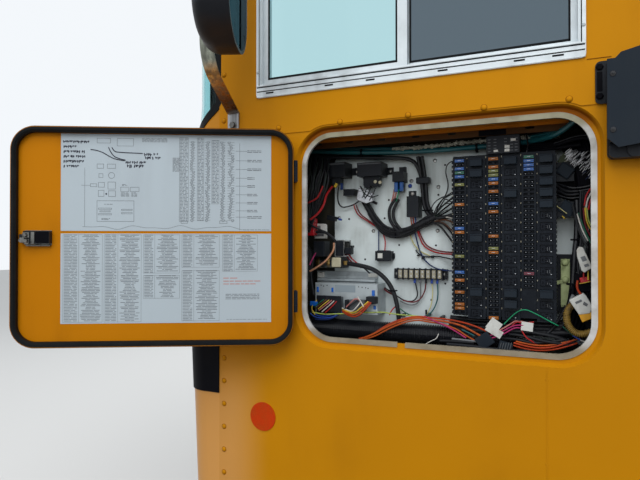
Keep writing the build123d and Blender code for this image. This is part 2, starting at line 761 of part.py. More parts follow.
# Smaller units: each solid is one or more boxes, given by X, depth and Z
start_relay_z = (634.0, 662.0)
units = {
    "flasher_relays": (
        (
            ((-301.0, -245.0), (135.0, 183.0), (859.0, 895.0)),
            ((-301.0, -225.6), (183.0, plate_depth), (867.0, 885.0)),
        ),
        (
            ((-214.0, -152.0), (135.0, 183.0), (857.0, 890.0)),
            ((-214.0, -137.0), (183.0, plate_depth), (864.0, 881.0)),
            ((-203.0, -163.0), (150.0, 172.0), (836.0, 857.0)),
        ),
    ),
    "small_relays": (
        (
            ((-130.0, -103.0), (150.0, plate_depth), (842.0, 866.0)),
            ((-121.0, -105.0), (178.0, plate_depth), (866.0, 880.0)),
        ),
        (
            ((-95.0, -67.0), (150.0, plate_depth), (757.0, 806.0)),
            ((-90.0, -72.0), (150.0, 153.0), (806.0, 818.0)),
        ),
        (((-259.0, -230.0), (158.0, plate_depth), (814.0, 830.0)),),
        (((-285.0, -256.0), (140.0, plate_depth), start_relay_z),),
    ),
    "relay_plug": ((((-128.0, -105.0), (154.0, 180.0), (818.0, 842.0)),),),
    "terminal_strip": ((((-133.0, -5.0), (176.0, plate_depth), (610.0, 634.0)),),),
    "buzzer": ((((-178.0, -138.0), (165.0, plate_depth), (653.0, 676.0)),),),
    "control_module": (
        (
            ((-319.0, -158.0), (122.0, 184.0), (526.0, 598.0)),
            ((-342.0, -178.0), (184.0, plate_depth), (530.0, 624.0)),
        ),
    ),
    "module_plugs": (
        (((-304.0, -244.0), (100.0, 122.0), (531.0, 566.0)),),
        (((-222.0, -184.0), (104.0, 122.0), (534.0, 561.0)),),
    ),
    "red_plug": ((((-340.0, -322.0), (120.0, 140.0), (716.0, 757.0)),),),
    "bus_bar_base": ((((230.0, 259.0), (170.0, plate_depth), (547.0, 671.0)),),),
    "bus_bar": ((((238.0, 255.0), (166.0, 170.0), (559.0, 661.0)),),),
    "board_plugs": (
        (
            ((95.0, 161.0), (86.0, board_face), (883.0, 920.0)),
            ((95.0, 161.0), (board_face, 130.0), (board_z[1], 920.0)),
        ),
        (((board_x[1], 264.0), (130.0, 176.0), (823.0, 863.0)),),
        (((board_x[1], 267.0), (130.0, 176.0), (749.0, 781.0)),),
    ),
}
# white plugs: the plug's box, then the box of its clip on the plate or on the side cable
white_plugs = (
    (((-331, -297), (140, 184), (707, 745)), ((-335, -262), (184, plate_depth), (716, 736))),
    (((268, 295), (86, 110), (638, 687)), ((258, 282), (110, 122), (652, 670))),
    (((262, 295), (86, 112), (552, 596)), ((250, 276), (112, 125), (565, 582))),
)
bracket_x = (-273.0, -250.0)
bracket_z = (662.0, 703.0)
bracket_depth = 140.0
bracket_t = 3.0
coil_x = (-321.0, -285.0)
coil_depth = 152.0
coil_radius = 13.5
strip_posts = 8
strip_post_pitch = 13.5
strip_post_depth = 168.0
strip_post_half = (4.0, 9.5)

# Hoses and cables: diameter, then the route's X, depth and Z points
conduit_z = box_z[0] + 23.3
lines = {
    "air_hoses": (
        12.0,
        (
            (-350.0, 150.0, 930.0), (-260.0, 150.0, 921.0), (-150.0, 150.0, 913.0), (-40.0, 150.0, 909.0),
            (90.0, 152.0, 911.0), (190.0, 138.0, 912.0), (240.0, 92.0, 916.0), (269.0, 79.0, 941.0),
        ),
    ),
    "conduit": (
        46.0,
        (
            (-352.0, 130.0, conduit_z), (-230.0, 131.0, conduit_z), (-120.0, 128.0, conduit_z),
            (10.0, 130.0, conduit_z), (150.0, 134.0, conduit_z),
        ),
    ),
    "battery_cable": (
        11.0,
        (
            (-254.5, 160.0, 646.0), (-205.0, 158.0, 640.0), (-171.0, 158.0, 628.0), (-141.0, 158.0, 602.0),
            (-124.0, 158.0, 566.0), (-117.0, 161.0, 520.0), (-116.0, 163.0, 480.0),
        ),
    ),
    "main_loom": (
        17.0,
        (
            (-66.0, 160.0, 900.0), (-60.0, 162.0, 866.0), (-56.0, 166.0, 820.0), (-54.0, 166.0, 785.0),
            (-40.0, 164.0, 757.0), (-8.0, 156.0, 752.0), (22.0, 150.0, 762.0),
        ),
    ),
    "cross_loom": (
        14.0,
        (
            (-209.0, 168.0, 800.0), (-196.0, 170.0, 777.0), (-178.0, 170.0, 747.0), (-154.0, 170.0, 722.0),
            (-120.0, 170.0, 716.0), (-85.0, 168.0, 726.0), (-62.0, 166.0, 742.0),
        ),
    ),
    "side_cable": (
        13.0,
        (
            (269.0, 120.0, 783.0), (270.0, 122.0, 722.0), (264.0, 122.0, 667.0), (261.0, 124.0, 612.0),
            (254.0, 128.0, 562.0), (240.0, 134.0, 515.0),
        ),
    ),
}
line_fit = 0.3
# clips: the line each one holds, then the X, depth and Z of its box
clips = (
    ("air_hoses", (-214.0, -200.0), (141.0, plate_depth), (904.0, 926.0)),
    ("air_hoses", (60.0, 74.0), (141.0, plate_depth), (897.0, 921.0)),
    ("main_loom", (-71.0, -46.0), (151.0, plate_depth), (838.0, 848.0)),
    ("main_loom", (-62.0, -36.0), (154.0, plate_depth), (768.0, 777.0)),
    ("cross_loom", (-132.0, -120.0), (159.0, plate_depth), (706.0, 728.0)),
    ("battery_cable", (-142.0, -121.0), (149.0, plate_depth), (577.0, 586.0)),
    ("side_cable", (board_x[1], 277.0), (112.0, 132.0), (697.0, 707.0)),
    ("side_cable", (board_x[1], 268.0), (114.0, 135.0), (606.0, 615.0)),
)


def route(points):
    # straight runs joined by arcs as large as the runs allow
    spots = [Vector(x, skin_y + depth, z) for x, depth, z in points]
    radii = []
    for before, here, after in zip(spots, spots[1:], spots[2:]):
        turn = (here - before).get_angle(after - here)
        run = min((here - before).length, (after - here).length)
        radii.append(0.45 * run / tan(radians(turn / 2)))
    return FilletPolyline(*spots, radius=radii), radii


def line_tube(name, grow):
    # a round bar on each run and a piece of a ring on each bend
    diameter, points = lines[name]
    path, radii = route(points)
    pieces = []
    for edge in path.edges():
        start = edge @ 0
        ahead = edge % 0
        disc = Plane(origin=start, z_dir=ahead) * Circle(diameter / 2 + grow)
        if edge.geom_type == GeomType.LINE:
            pieces.append(extrude(disc, amount=edge.length))
        else:
            pin = Axis(edge.arc_center, (start - edge.arc_center).cross(ahead))
            pieces.append(revolve(disc, pin, degrees(edge.length / edge.radius)))
    return sum(pieces[1:], pieces[0]), min(radii), path.length


def build_lines():
    for name in lines:
        tube, bend, length = line_tube(name, 0)
        print(name, "tightest bend", round(bend), "length", round(length))
        save(name, tube)
    rooms = {name: line_tube(name, line_fit)[0] for name in lines}
    save("line_clips", *[block(x, depth, z) - rooms[name] for name, x, depth, z in clips])
    save("white_plugs", *[block(*plug) + (block(*tab) - rooms["side_cable"]) for plug, tab in white_plugs])


def build_units():
    for name, solids in units.items():
        save(name, *[sum((block(*box) for box in boxes[1:]), block(*boxes[0])) for boxes in solids])
    outside = block(bracket_x, (bracket_depth, plate_depth), bracket_z)
    inside = block(grown(bracket_x, 1), (bracket_depth + bracket_t, plate_depth - bracket_t),
                   grown(bracket_z, -bracket_t))
    save("relay_bracket", outside - inside)
    spot = Pos(sum(coil_x) / 2, skin_y + coil_depth, sum(start_relay_z) / 2) * Rot(0, 90, 0)
    save("solenoid", spot * Cylinder(coil_radius, coil_x[1] - coil_x[0]))
    strip_x, strip_depth, strip_z = units["terminal_strip"][0][0]
    first = sum(strip_x) / 2 - (strip_posts - 1) * strip_post_pitch / 2
    post_z = grown((sum(strip_z) / 2, sum(strip_z) / 2), strip_post_half[1])
    posts = []
    for number in range(strip_posts):
        middle = first + number * strip_post_pitch
        post_x = grown((middle, middle), strip_post_half[0])
        posts.append(block(post_x, (strip_post_depth, strip_depth[0]), post_z))
    save("terminal_posts", *posts)


gasket, corner_pane = build_corner()
save("corner_gasket", gasket)
save("lower_side_panel", build_lower_panel())
save("upper_side_panel", build_upper_panel(gasket))
save("bay_trim", build_trim())
save("bay_box", build_box())
save("bay_ceiling", build_ceiling())
save("bay_back_plate", build_back_plate())
save("wall_posts", *build_posts())
save("sill_rail", build_sill())
belt_rail_x = (front_post_x + post_width / 2 + post_flange, rear_post_x - post_width / 2 - post_flange)
save("wall_rails", build_header(), build_rail(belt_rail_x, belt_rail_z, 0))
build_window(corner_pane)
build_door()
leaves = [hinge_parts(z) for z in hinge_z]
save("hinge_body_leaves", *[pair[0] for pair in leaves])
save("hinge_door_leaves", *[swung(pair[1]) for pair in leaves])
build_mirror()
build_stop_arm()
build_board()
build_units()
build_lines()
save("reflector", stud(*reflector_spot, (-reflector_t, 0), reflector_radius))
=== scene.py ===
import json
from math import cos, pi, radians, sin

import bmesh
import bpy
import numpy as np
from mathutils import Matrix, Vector


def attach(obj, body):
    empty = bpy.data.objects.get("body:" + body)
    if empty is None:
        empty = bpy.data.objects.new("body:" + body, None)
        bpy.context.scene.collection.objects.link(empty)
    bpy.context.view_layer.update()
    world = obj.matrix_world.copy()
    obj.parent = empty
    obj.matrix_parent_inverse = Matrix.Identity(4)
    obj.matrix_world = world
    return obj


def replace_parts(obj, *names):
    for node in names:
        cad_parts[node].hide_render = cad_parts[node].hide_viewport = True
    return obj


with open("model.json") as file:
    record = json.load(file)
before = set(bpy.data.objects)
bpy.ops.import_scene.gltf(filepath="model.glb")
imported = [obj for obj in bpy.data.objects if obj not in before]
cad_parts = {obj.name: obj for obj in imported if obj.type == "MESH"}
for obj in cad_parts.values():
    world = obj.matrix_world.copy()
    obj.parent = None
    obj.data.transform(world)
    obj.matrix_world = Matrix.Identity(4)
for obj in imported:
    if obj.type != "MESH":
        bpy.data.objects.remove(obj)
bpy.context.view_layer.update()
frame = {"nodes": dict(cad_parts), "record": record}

record = frame["record"]
random = np.random.default_rng(7)

# places are in millimetres as (X, depth, Z); depth counts into the bus from the lower panel's face
millimetre = 0.001
skinY = -32.0
outward = (0.0, -1.0, 0.0)


def place(points):
    # X stays, depth becomes Y by adding the skin's Y, Z stays, all in metres
    points = np.asarray(points, dtype=float)
    return (points + np.array([0.0, skinY, 0.0])) * millimetre


doorHinge = {"x": -304.0, "depth": -20.0, "openTurn": -152.0}


def onDoor(points):
    # a point drawn on the shut door, turned about the hinge's upright axis to where the door stands open
    points = np.asarray(points, dtype=float)
    turn = radians(doorHinge["openTurn"])
    x = points[..., 0] - doorHinge["x"]
    depth = points[..., 1] - doorHinge["depth"]
    turned = points.copy()
    turned[..., 0] = doorHinge["x"] + x * cos(turn) - depth * sin(turn)
    turned[..., 1] = doorHinge["depth"] + x * sin(turn) + depth * cos(turn)
    return turned


# Shader groups

def newGroup(name, inputs, outputs):
    group = bpy.data.node_groups.new(name, "ShaderNodeTree")
    for kind, label, value in inputs:
        socket = group.interface.new_socket(label, in_out="INPUT", socket_type=kind)
        socket.default_value = value
    for kind, label in outputs:
        group.interface.new_socket(label, in_out="OUTPUT", socket_type=kind)
    return group, group.nodes.new("NodeGroupInput"), group.nodes.new("NodeGroupOutput")


def feed(tree, socket, source):
    # a number or a colour sets the socket; another node's output is linked to it
    if isinstance(source, (int, float, tuple)):
        socket.default_value = source
    else:
        tree.links.new(source, socket)


def scaledNoise(tree, scale, detail, stretch=(1, 1, 1)):
    coordinates = tree.nodes.new("ShaderNodeTexCoord")
    mapping = tree.nodes.new("ShaderNodeMapping")
    mapping.inputs["Scale"].default_value = stretch
    noise = tree.nodes.new("ShaderNodeTexNoise")
    noise.inputs["Detail"].default_value = detail
    tree.links.new(coordinates.outputs["Object"], mapping.inputs["Vector"])
    tree.links.new(mapping.outputs["Vector"], noise.inputs["Vector"])
    feed(tree, noise.inputs["Scale"], scale)
    return noise.outputs["Fac"]


def objectAxes(tree):
    coordinates = tree.nodes.new("ShaderNodeTexCoord")
    split = tree.nodes.new("ShaderNodeSeparateXYZ")
    tree.links.new(coordinates.outputs["Object"], split.inputs[0])
    return split.outputs


def stepRange(tree, value, low, high):
    # a soft step from 0 at the low value to 1 at the high one
    spread = tree.nodes.new("ShaderNodeMapRange")
    spread.interpolation_type = "SMOOTHSTEP"
    for label, source in (("Value", value), ("From Min", low), ("From Max", high)):
        feed(tree, spread.inputs[label], source)
    return spread.outputs["Result"]


def spreadTo(tree, mask, low, high):
    # 0 to 1 becomes low to high
    spread = tree.nodes.new("ShaderNodeMapRange")
    for label, source in (("Value", mask), ("To Min", low), ("To Max", high)):
        feed(tree, spread.inputs[label], source)
    return spread.outputs["Result"]


def patches(tree, scale, detail, low, high, stretch=(1, 1, 1)):
    # noise cut to soft-edged patches
    return stepRange(tree, scaledNoise(tree, scale, detail, stretch), low, high)


def mathNode(tree, operation, first, second):
    node = tree.nodes.new("ShaderNodeMath")
    node.operation = operation
    for socket, source in zip(node.inputs, (first, second)):
        feed(tree, socket, source)
    return node.outputs[0]


def product(tree, first, second):
    return mathNode(tree, "MULTIPLY", first, second)


def mixColours(tree, share, first, second):
    node = tree.nodes.new("ShaderNodeMix")
    node.data_type = "RGBA"
    for socket, source in ((node.inputs[0], share), (node.inputs[6], first), (node.inputs[7], second)):
        feed(tree, socket, source)
    return node.outputs[2]


def useGroup(tree, group, values):
    node = tree.nodes.new("ShaderNodeGroup")
    node.node_tree = group
    for label, source in values.items():
        feed(tree, node.inputs[label], source)
    return node.outputs


def addBump(tree, shader, height, strength, distance):
    bump = tree.nodes.new("ShaderNodeBump")
    bump.inputs["Strength"].default_value = strength
    bump.inputs["Distance"].default_value = distance
    tree.links.new(height, bump.inputs["Height"])
    tree.links.new(bump.outputs["Normal"], shader.inputs["Normal"])


def buildGrimeGroup():
    # clean colour drifting a little in shade, with patches and downward streaks of grime over it
    inputs = (("NodeSocketColor", "Clean", (0.5, 0.5, 0.5, 1)),
              ("NodeSocketColor", "Grime", (0.1, 0.1, 0.1, 1)), ("NodeSocketFloat", "Amount", 0.3),
              ("NodeSocketFloat", "Scale", 8.0), ("NodeSocketFloat", "Drift", 0.1))
    group, source, result = newGroup("grime", inputs,
                                     (("NodeSocketColor", "Color"), ("NodeSocketFloat", "Mask")))
    scale = source.outputs["Scale"]
    blots = patches(group, scale, 8, 0.42, 0.72)
    streaks = patches(group, product(group, scale, 2.5), 5, 0.35, 0.7, (1, 1, 0.12))
    mask = product(group, product(group, blots, streaks), source.outputs["Amount"])
    darker = product(group, patches(group, scale, 3, 0.3, 0.7, (0.3, 0.3, 0.3)), source.outputs["Drift"])
    drifted = mixColours(group, darker, source.outputs["Clean"], source.outputs["Grime"])
    group.links.new(mixColours(group, mask, drifted, source.outputs["Grime"]), result.inputs["Color"])
    group.links.new(mask, result.inputs["Mask"])
    return group


def buildReliefGroup():
    # a fine grain and a broad ripple, added as one height
    inputs = (("NodeSocketFloat", "Grain", 300.0), ("NodeSocketFloat", "Ripple", 9.0),
              ("NodeSocketFloat", "Ripple Share", 0.5))
    group, source, result = newGroup("relief", inputs, (("NodeSocketFloat", "Height"),))
    grain = scaledNoise(group, source.outputs["Grain"], 2)
    ripple = scaledNoise(group, source.outputs["Ripple"], 2)
    share = product(group, ripple, source.outputs["Ripple Share"])
    group.links.new(mathNode(group, "ADD", grain, share), result.inputs["Height"])
    return group


def buildDustGroup():
    # a second colour taking over downwards between two heights, broken up by noise; the bay ceiling uses it
    # for painted shade, the back plate to grow darker towards the bottom
    inputs = (("NodeSocketColor", "Clean", (0.5, 0.5, 0.5, 1)),
              ("NodeSocketColor", "Dust", (0.3, 0.25, 0.18, 1)), ("NodeSocketFloat", "Low", 0.0),
              ("NodeSocketFloat", "High", 0.5), ("NodeSocketFloat", "Amount", 0.5),
              ("NodeSocketFloat", "Breakup", 1.0))
    group, source, result = newGroup("settledDust", inputs,
                                     (("NodeSocketColor", "Color"), ("NodeSocketFloat", "Mask")))
    even = mathNode(group, "SUBTRACT", 1.0, source.outputs["Breakup"])
    breakup = mathNode(group, "MAXIMUM", patches(group, 34.0, 7, 0.3, 0.75), even)
    height = stepRange(group, objectAxes(group)["Z"], source.outputs["High"], source.outputs["Low"])
    mask = product(group, product(group, height, breakup), source.outputs["Amount"])
    group.links.new(mixColours(group, mask, source.outputs["Clean"], source.outputs["Dust"]),
                    result.inputs["Color"])
    group.links.new(mask, result.inputs["Mask"])
    return group


grimeGroup = buildGrimeGroup()
reliefGroup = buildReliefGroup()
dustGroup = buildDustGroup()

usualFinish = {"shine": 0.5, "metallic": 0, "grain": 500, "bump": 0.02, "drift": 0.1}


def paint(colour, grime, amount, scale, rough, **more):
    # colour, grime's colour, amount and noise scale, clean and grimy roughness, then what isn't usual
    return dict(usualFinish, colour=colour, grime=grime, amount=amount, scale=scale, rough=rough, **more)


finishes = {
    "yellow_paint": paint((0.535, 0.222, 0.0028), (0.27, 0.10, 0.004), 0.45, 5, (0.42, 0.65), shine=0.10,
                          grain=420, bump=0.012, drift=0.2),
    "seatYellow": paint((0.26, 0.095, 0.002), (0.14, 0.05, 0.003), 0.5, 60, (0.5, 0.7), shine=0.1, grain=420,
                        bump=0.012),
    "doorYellow": paint((0.52, 0.185, 0.002), (0.25, 0.085, 0.003), 0.4, 6, (0.42, 0.65), shine=0.08,
                        grain=420, bump=0.010, drift=0.2),
    # paler low at the front corner: partly faded paint, partly a painted reflection of the sky
    "fadedYellow": paint((0.545, 0.226, 0.0028), (0.30, 0.12, 0.01), 0.3, 5, (0.35, 0.6), shine=0.3,
                         grain=420, bump=0.012, drift=0.2, faded=((-0.30, -0.40), (0.50, 0.40),
                                                                  (0.72, 0.37, 0.13))),
    # painted shade high in the pressed recess; low at the front corner paler, partly faded paint and partly a
    # painted reflection of the sky
    "recessYellow": paint((0.545, 0.226, 0.0028), (0.27, 0.10, 0.004), 0.22, 5, (0.42, 0.65), shine=0.10,
                          grain=420, bump=0.012, drift=0.2, hollow=((-0.0305, -0.024), (0.895, 0.930),
                                                                    (0.24, 0.068, 0.001)),
                          faded=((-0.375, -0.49), (0.48, 0.30), (0.66, 0.34, 0.12))),
    # bay ceiling: its yellow brighter than the wall's paint, a painted highlight on the front lip, and below
    # 0.9365 m a solid dark brown, painted shade
    "shadedYellow": paint((0.78, 0.30, 0.02), (0.20, 0.085, 0.02), 0.6, 16, (0.5, 0.8), shine=0.15, grain=420,
                          bump=0.03, drift=0.3, dust=(0.9395, 0.9365, 1.0), dustColour=(0.085, 0.040, 0.014),
                          solidDust=True),
    "box_paint": paint((0.022, 0.024, 0.022), (0.07, 0.06, 0.04), 0.8, 12, (0.6, 0.9), shine=0.2, grain=420,
                       bump=0.05, drift=0.3),
    # the back plate grows darker, a bluer grey, towards the bottom
    "plate_paint": paint((0.84, 0.94, 0.95), (0.20, 0.21, 0.17), 0.5, 14, (0.4, 0.7), shine=0.4, drift=0.12,
                         dust=(0.80, 0.54, 0.42), dustColour=(0.27, 0.30, 0.31), solidDust=True),
    "dark_paint": paint((0.014, 0.020, 0.028), (0.034, 0.038, 0.042), 0.35, 16, (0.5, 0.75), shine=0.12,
                        grain=600, bump=0.03),
    "deepBlack": paint((0.002, 0.002, 0.004), (0.012, 0.012, 0.012), 0.4, 16, (0.5, 0.8), shine=0.06,
                       grain=600, bump=0.03),
    "primer": paint((0.13, 0.135, 0.135), (0.17, 0.10, 0.055), 0.6, 9, (0.6, 0.85), shine=0.4, grain=300,
                    bump=0.06),
    "steel": paint((0.50, 0.50, 0.49), (0.14, 0.10, 0.07), 0.7, 40, (0.28, 0.6), metallic=1, grain=900,
                   bump=0.03),
    "aluminium": paint((0.50, 0.56, 0.585), (0.15, 0.16, 0.17), 0.7, 18, (0.34, 0.62), metallic=0.4,
                       grain=700, bump=0.03, drift=0.25),
    "windowMetal": paint((0.79, 0.865, 0.90), (0.20, 0.21, 0.22), 0.5, 10, (0.34, 0.62), metallic=0.25,
                         grain=700, drift=0.2),
    "copper": paint((0.50, 0.58, 0.29), (0.17, 0.20, 0.09), 0.8, 60, (0.5, 0.85), metallic=0.1, bump=0.12),
    "rubber": paint((0.006, 0.007, 0.008), (0.024, 0.024, 0.023), 0.4, 20, (0.5, 0.8), shine=0.10, bump=0.06),
    "black_plastic": paint((0.009, 0.011, 0.015), (0.04, 0.042, 0.044), 0.4, 45, (0.42, 0.75), shine=0.2,
                           grain=800, bump=0.04),
    "board_plastic": paint((0.005, 0.007, 0.011), (0.024, 0.030, 0.038), 0.5, 60, (0.42, 0.7), shine=0.16,
                           grain=900, bump=0.06),
    "grey_plastic": paint((0.08, 0.09, 0.10), (0.035, 0.03, 0.026), 0.5, 40, (0.45, 0.7), grain=700,
                          bump=0.03),
    "white_plastic": paint((0.62, 0.63, 0.60), (0.26, 0.23, 0.17), 0.5, 45, (0.4, 0.7), grain=600, bump=0.03),
    "cream_plastic": paint((0.55, 0.52, 0.37), (0.2, 0.16, 0.09), 0.6, 60, (0.4, 0.7), grain=600, bump=0.05),
    "teal_plastic": paint((0.012, 0.125, 0.15), (0.035, 0.05, 0.05), 0.5, 25, (0.3, 0.6), shine=0.4),
    "blue_plastic": paint((0.012, 0.12, 0.50), (0.01, 0.04, 0.13), 0.5, 120, (0.2, 0.45)),
    "red_plastic": paint((0.48, 0.012, 0.02), (0.12, 0.01, 0.01), 0.5, 90, (0.25, 0.5)),
    "yellow_plastic": paint((0.62, 0.48, 0.05), (0.25, 0.2, 0.05), 0.5, 120, (0.2, 0.45)),
    "blueSleeve": paint((0.012, 0.10, 0.36), (0.005, 0.03, 0.12), 0.7, 70, (0.3, 0.5), bump=0.03, drift=0.3),
    "oliveFuse": paint((0.19, 0.20, 0.04), (0.08, 0.08, 0.03), 0.6, 160, (0.2, 0.45), shine=0.6),
    "blueFuse": paint((0.016, 0.11, 0.40), (0.01, 0.05, 0.16), 0.6, 160, (0.2, 0.45), shine=0.6),
    "tanFuse": paint((0.38, 0.12, 0.014), (0.13, 0.05, 0.012), 0.6, 160, (0.3, 0.5), shine=0.3),
    "roseFuse": paint((0.17, 0.03, 0.05), (0.08, 0.015, 0.025), 0.6, 160, (0.25, 0.5)),
    "greenFuse": paint((0.010, 0.13, 0.08), (0.006, 0.05, 0.03), 0.6, 160, (0.2, 0.45), shine=0.6),
    "olive": paint((0.10, 0.12, 0.07), (0.04, 0.05, 0.03), 0.7, 60, (0.5, 0.8), shine=0.2, bump=0.06,
                   drift=0.3),
    "orangePlug": paint((0.75, 0.36, 0.015), (0.35, 0.16, 0.02), 0.5, 60, (0.35, 0.6), bump=0.03),
    "foam": paint((0.62, 0.62, 0.54), (0.09, 0.09, 0.06), 1.0, 110, (0.45, 0.9), shine=0.3, grain=300,
                  bump=0.3, drift=0.4),
    "green_plastic": paint((0.015, 0.26, 0.13), (0.01, 0.08, 0.04), 0.5, 120, (0.2, 0.45)),
    "tan_plastic": paint((0.62, 0.25, 0.06), (0.22, 0.09, 0.03), 0.5, 120, (0.2, 0.45)),
    "dimLabel": paint((0.27, 0.325, 0.36), (0.20, 0.23, 0.25), 0.4, 9, (0.45, 0.6), shine=0.2, grain=300,
                      bump=0.01, drift=0.25),
    "label": paint((0.455, 0.53, 0.58), (0.33, 0.37, 0.405), 0.35, 7, (0.4, 0.6), shine=0.2, grain=300,
                   bump=0.01, drift=0.25),
    "red_sheet": paint((0.45, 0.010, 0.012), (0.25, 0.02, 0.02), 0.4, 12, (0.3, 0.55)),
    "ink": paint((0.125, 0.14, 0.155), (0.27, 0.29, 0.32), 0.8, 60, (0.5, 0.6), grain=300, bump=0.0),
    "redInk": paint((0.46, 0.23, 0.21), (0.42, 0.3, 0.3), 0.6, 60, (0.5, 0.6), grain=300, bump=0.0),
    "pen": paint((0.006, 0.006, 0.02), (0.04, 0.04, 0.06), 0.3, 60, (0.35, 0.5), grain=300, bump=0.0),
    "brassy": paint((0.42, 0.27, 0.08), (0.10, 0.07, 0.03), 0.9, 60, (0.35, 0.7), metallic=0.8, bump=0.05),
    "amber": paint((0.27, 0.17, 0.035), (0.035, 0.025, 0.012), 1.0, 60, (0.4, 0.6), bump=0.03, drift=0.4),
    "wornSteel": paint((0.20, 0.20, 0.19), (0.03, 0.028, 0.025), 1.0, 90, (0.3, 0.6), metallic=0.8, grain=900,
                       bump=0.05, drift=0.4),
    # a painted highlight's colour, for the glint strokes in the bay's upper right corner
    "paleWire": paint((0.92, 0.95, 0.98), (0.40, 0.42, 0.45), 0.6, 90, (0.25, 0.5), shine=0.6, drift=0.2),
    "glossBlack": paint((0.008, 0.009, 0.012), (0.03, 0.03, 0.032), 0.4, 60, (0.16, 0.45)),
    "dullCream": paint((0.36, 0.335, 0.25), (0.13, 0.11, 0.07), 0.8, 70, (0.4, 0.7), grain=600, bump=0.05,
                       drift=0.3),
    "silvery": paint((0.55, 0.57, 0.60), (0.10, 0.10, 0.11), 1.0, 80, (0.22, 0.5), metallic=0.5, bump=0.03),
}
wireColours = {
    "black": (0.012, 0.013, 0.016), "grey": (0.16, 0.17, 0.18), "white": (0.62, 0.60, 0.56),
    "red": (0.45, 0.018, 0.02), "darkRed": (0.16, 0.012, 0.018), "orange": (0.46, 0.085, 0.014),
    "redOrange": (0.43, 0.045, 0.010), "yellow": (0.66, 0.46, 0.05), "cream": (0.60, 0.56, 0.26),
    "green": (0.02, 0.30, 0.14), "darkGreen": (0.015, 0.12, 0.07), "limeGreen": (0.42, 0.52, 0.12),
    "teal": (0.02, 0.12, 0.13), "blue": (0.03, 0.08, 0.38), "navy": (0.012, 0.03, 0.12),
    "pink": (0.55, 0.20, 0.18), "magenta": (0.42, 0.03, 0.14), "peach": (0.52, 0.26, 0.15),
    "brown": (0.12, 0.05, 0.025), "murky": (0.028, 0.040, 0.036),
}
for colourName, colour in wireColours.items():
    finishes["wire_" + colourName] = paint(colour, tuple(0.3 * c + 0.01 for c in colour), 0.8, 90,
                                           (0.35, 0.65), shine=0.3, bump=0.03, drift=0.3)


def shaderMaterial(name):
    material = bpy.data.materials.new(name)
    material.use_nodes = True
    tree = material.node_tree
    return material, tree, tree.nodes["Principled BSDF"]


def buildMaterial(name, finish):
    material, tree, shader = shaderMaterial(name)
    grimed = useGroup(tree, grimeGroup, {"Clean": (*finish["colour"], 1), "Grime": (*finish["grime"], 1),
                                         "Amount": finish["amount"], "Scale": finish["scale"],
                                         "Drift": finish["drift"]})
    colour = grimed["Color"]
    if "dust" in finish:
        high, low, amount = finish["dust"]
        dustColour = finish.get("dustColour", (0.17, 0.105, 0.05))
        breakup = 0.0 if "solidDust" in finish else 1.0
        colour = useGroup(tree, dustGroup, {"Clean": colour, "Dust": (*dustColour, 1), "Low": low,
                                            "High": high, "Amount": amount, "Breakup": breakup})["Color"]
    # darker and redder where the panel is pressed in and high up: painted shade in the recess
    # paler low down at the front corner: partly chalky faded paint, partly a painted reflection of the sky
    for key, axis, share in (("hollow", "Y", 1.0), ("faded", "X", 0.6)):
        if key in finish:
            span, heights, other = finish[key]
            axes = objectAxes(tree)
            both = product(tree, stepRange(tree, axes[axis], *span), stepRange(tree, axes["Z"], *heights))
            colour = mixColours(tree, product(tree, both, share), colour, (*other, 1))
    tree.links.new(colour, shader.inputs["Base Color"])
    tree.links.new(spreadTo(tree, grimed["Mask"], *finish["rough"]), shader.inputs["Roughness"])
    shader.inputs["Metallic"].default_value = finish["metallic"]
    shader.inputs["Specular IOR Level"].default_value = finish["shine"]
    relief = useGroup(tree, reliefGroup, {"Grain": finish["grain"]})
    addBump(tree, shader, relief["Height"], finish["bump"], 0.01)
    return material


def buildGlass():
    # grey-green tint; the rear pane, right of the meeting stile, is darker: a painted reflection of dark
    # surroundings
    material, tree, shader = shaderMaterial("tintedGlass")
    rear = stepRange(tree, objectAxes(tree)["X"], -0.066, -0.055)
    tint = mixColours(tree, rear, (0.50, 0.74, 0.76, 1), (0.12, 0.155, 0.18, 1))
    tree.links.new(tint, shader.inputs["Base Color"])
    shader.inputs["Transmission Weight"].default_value = 1.0
    shader.inputs["IOR"].default_value = 1.15
    tree.links.new(spreadTo(tree, scaledNoise(tree, 6.0, 5), 0.0, 0.12), shader.inputs["Roughness"])
    return material


def buildMirrorGlass():
    material, tree, shader = shaderMaterial("silveredGlass")
    # painted reflection: the silvering darkened in blots and streaks, standing for the dark surroundings the
    # mirror reflects
    spots = patches(tree, 40.0, 6, 0.55, 0.8)
    streaks = patches(tree, 16.0, 6, 0.35, 0.65, (1, 1, 0.35))
    tint = mixColours(tree, streaks, (0.06, 0.09, 0.105, 1), (0.15, 0.20, 0.22, 1))
    tree.links.new(mixColours(tree, spots, tint, (0.05, 0.06, 0.06, 1)), shader.inputs["Base Color"])
    tree.links.new(product(tree, spots, 0.3), shader.inputs["Roughness"])
    shader.inputs["Metallic"].default_value = 1.0
    shader.inputs["Specular Tint"].default_value = (0.22, 0.26, 0.28, 1)  # dull where seen nearly edge on
    return material


def heightBlend(tree, steps):
    # steps of (low Z, high Z, colour above): each colour takes over between its two heights,
    # its edge broken by noise
    wander = product(tree, scaledNoise(tree, 30.0, 5), 0.02)
    height = mathNode(tree, "ADD", objectAxes(tree)["Z"], mathNode(tree, "SUBTRACT", wander, 0.01))
    colour = (*steps[0][2], 1)
    for low, high, above in steps[1:]:
        colour = mixColours(tree, stepRange(tree, height, low, high), colour, (*above, 1))
    return colour


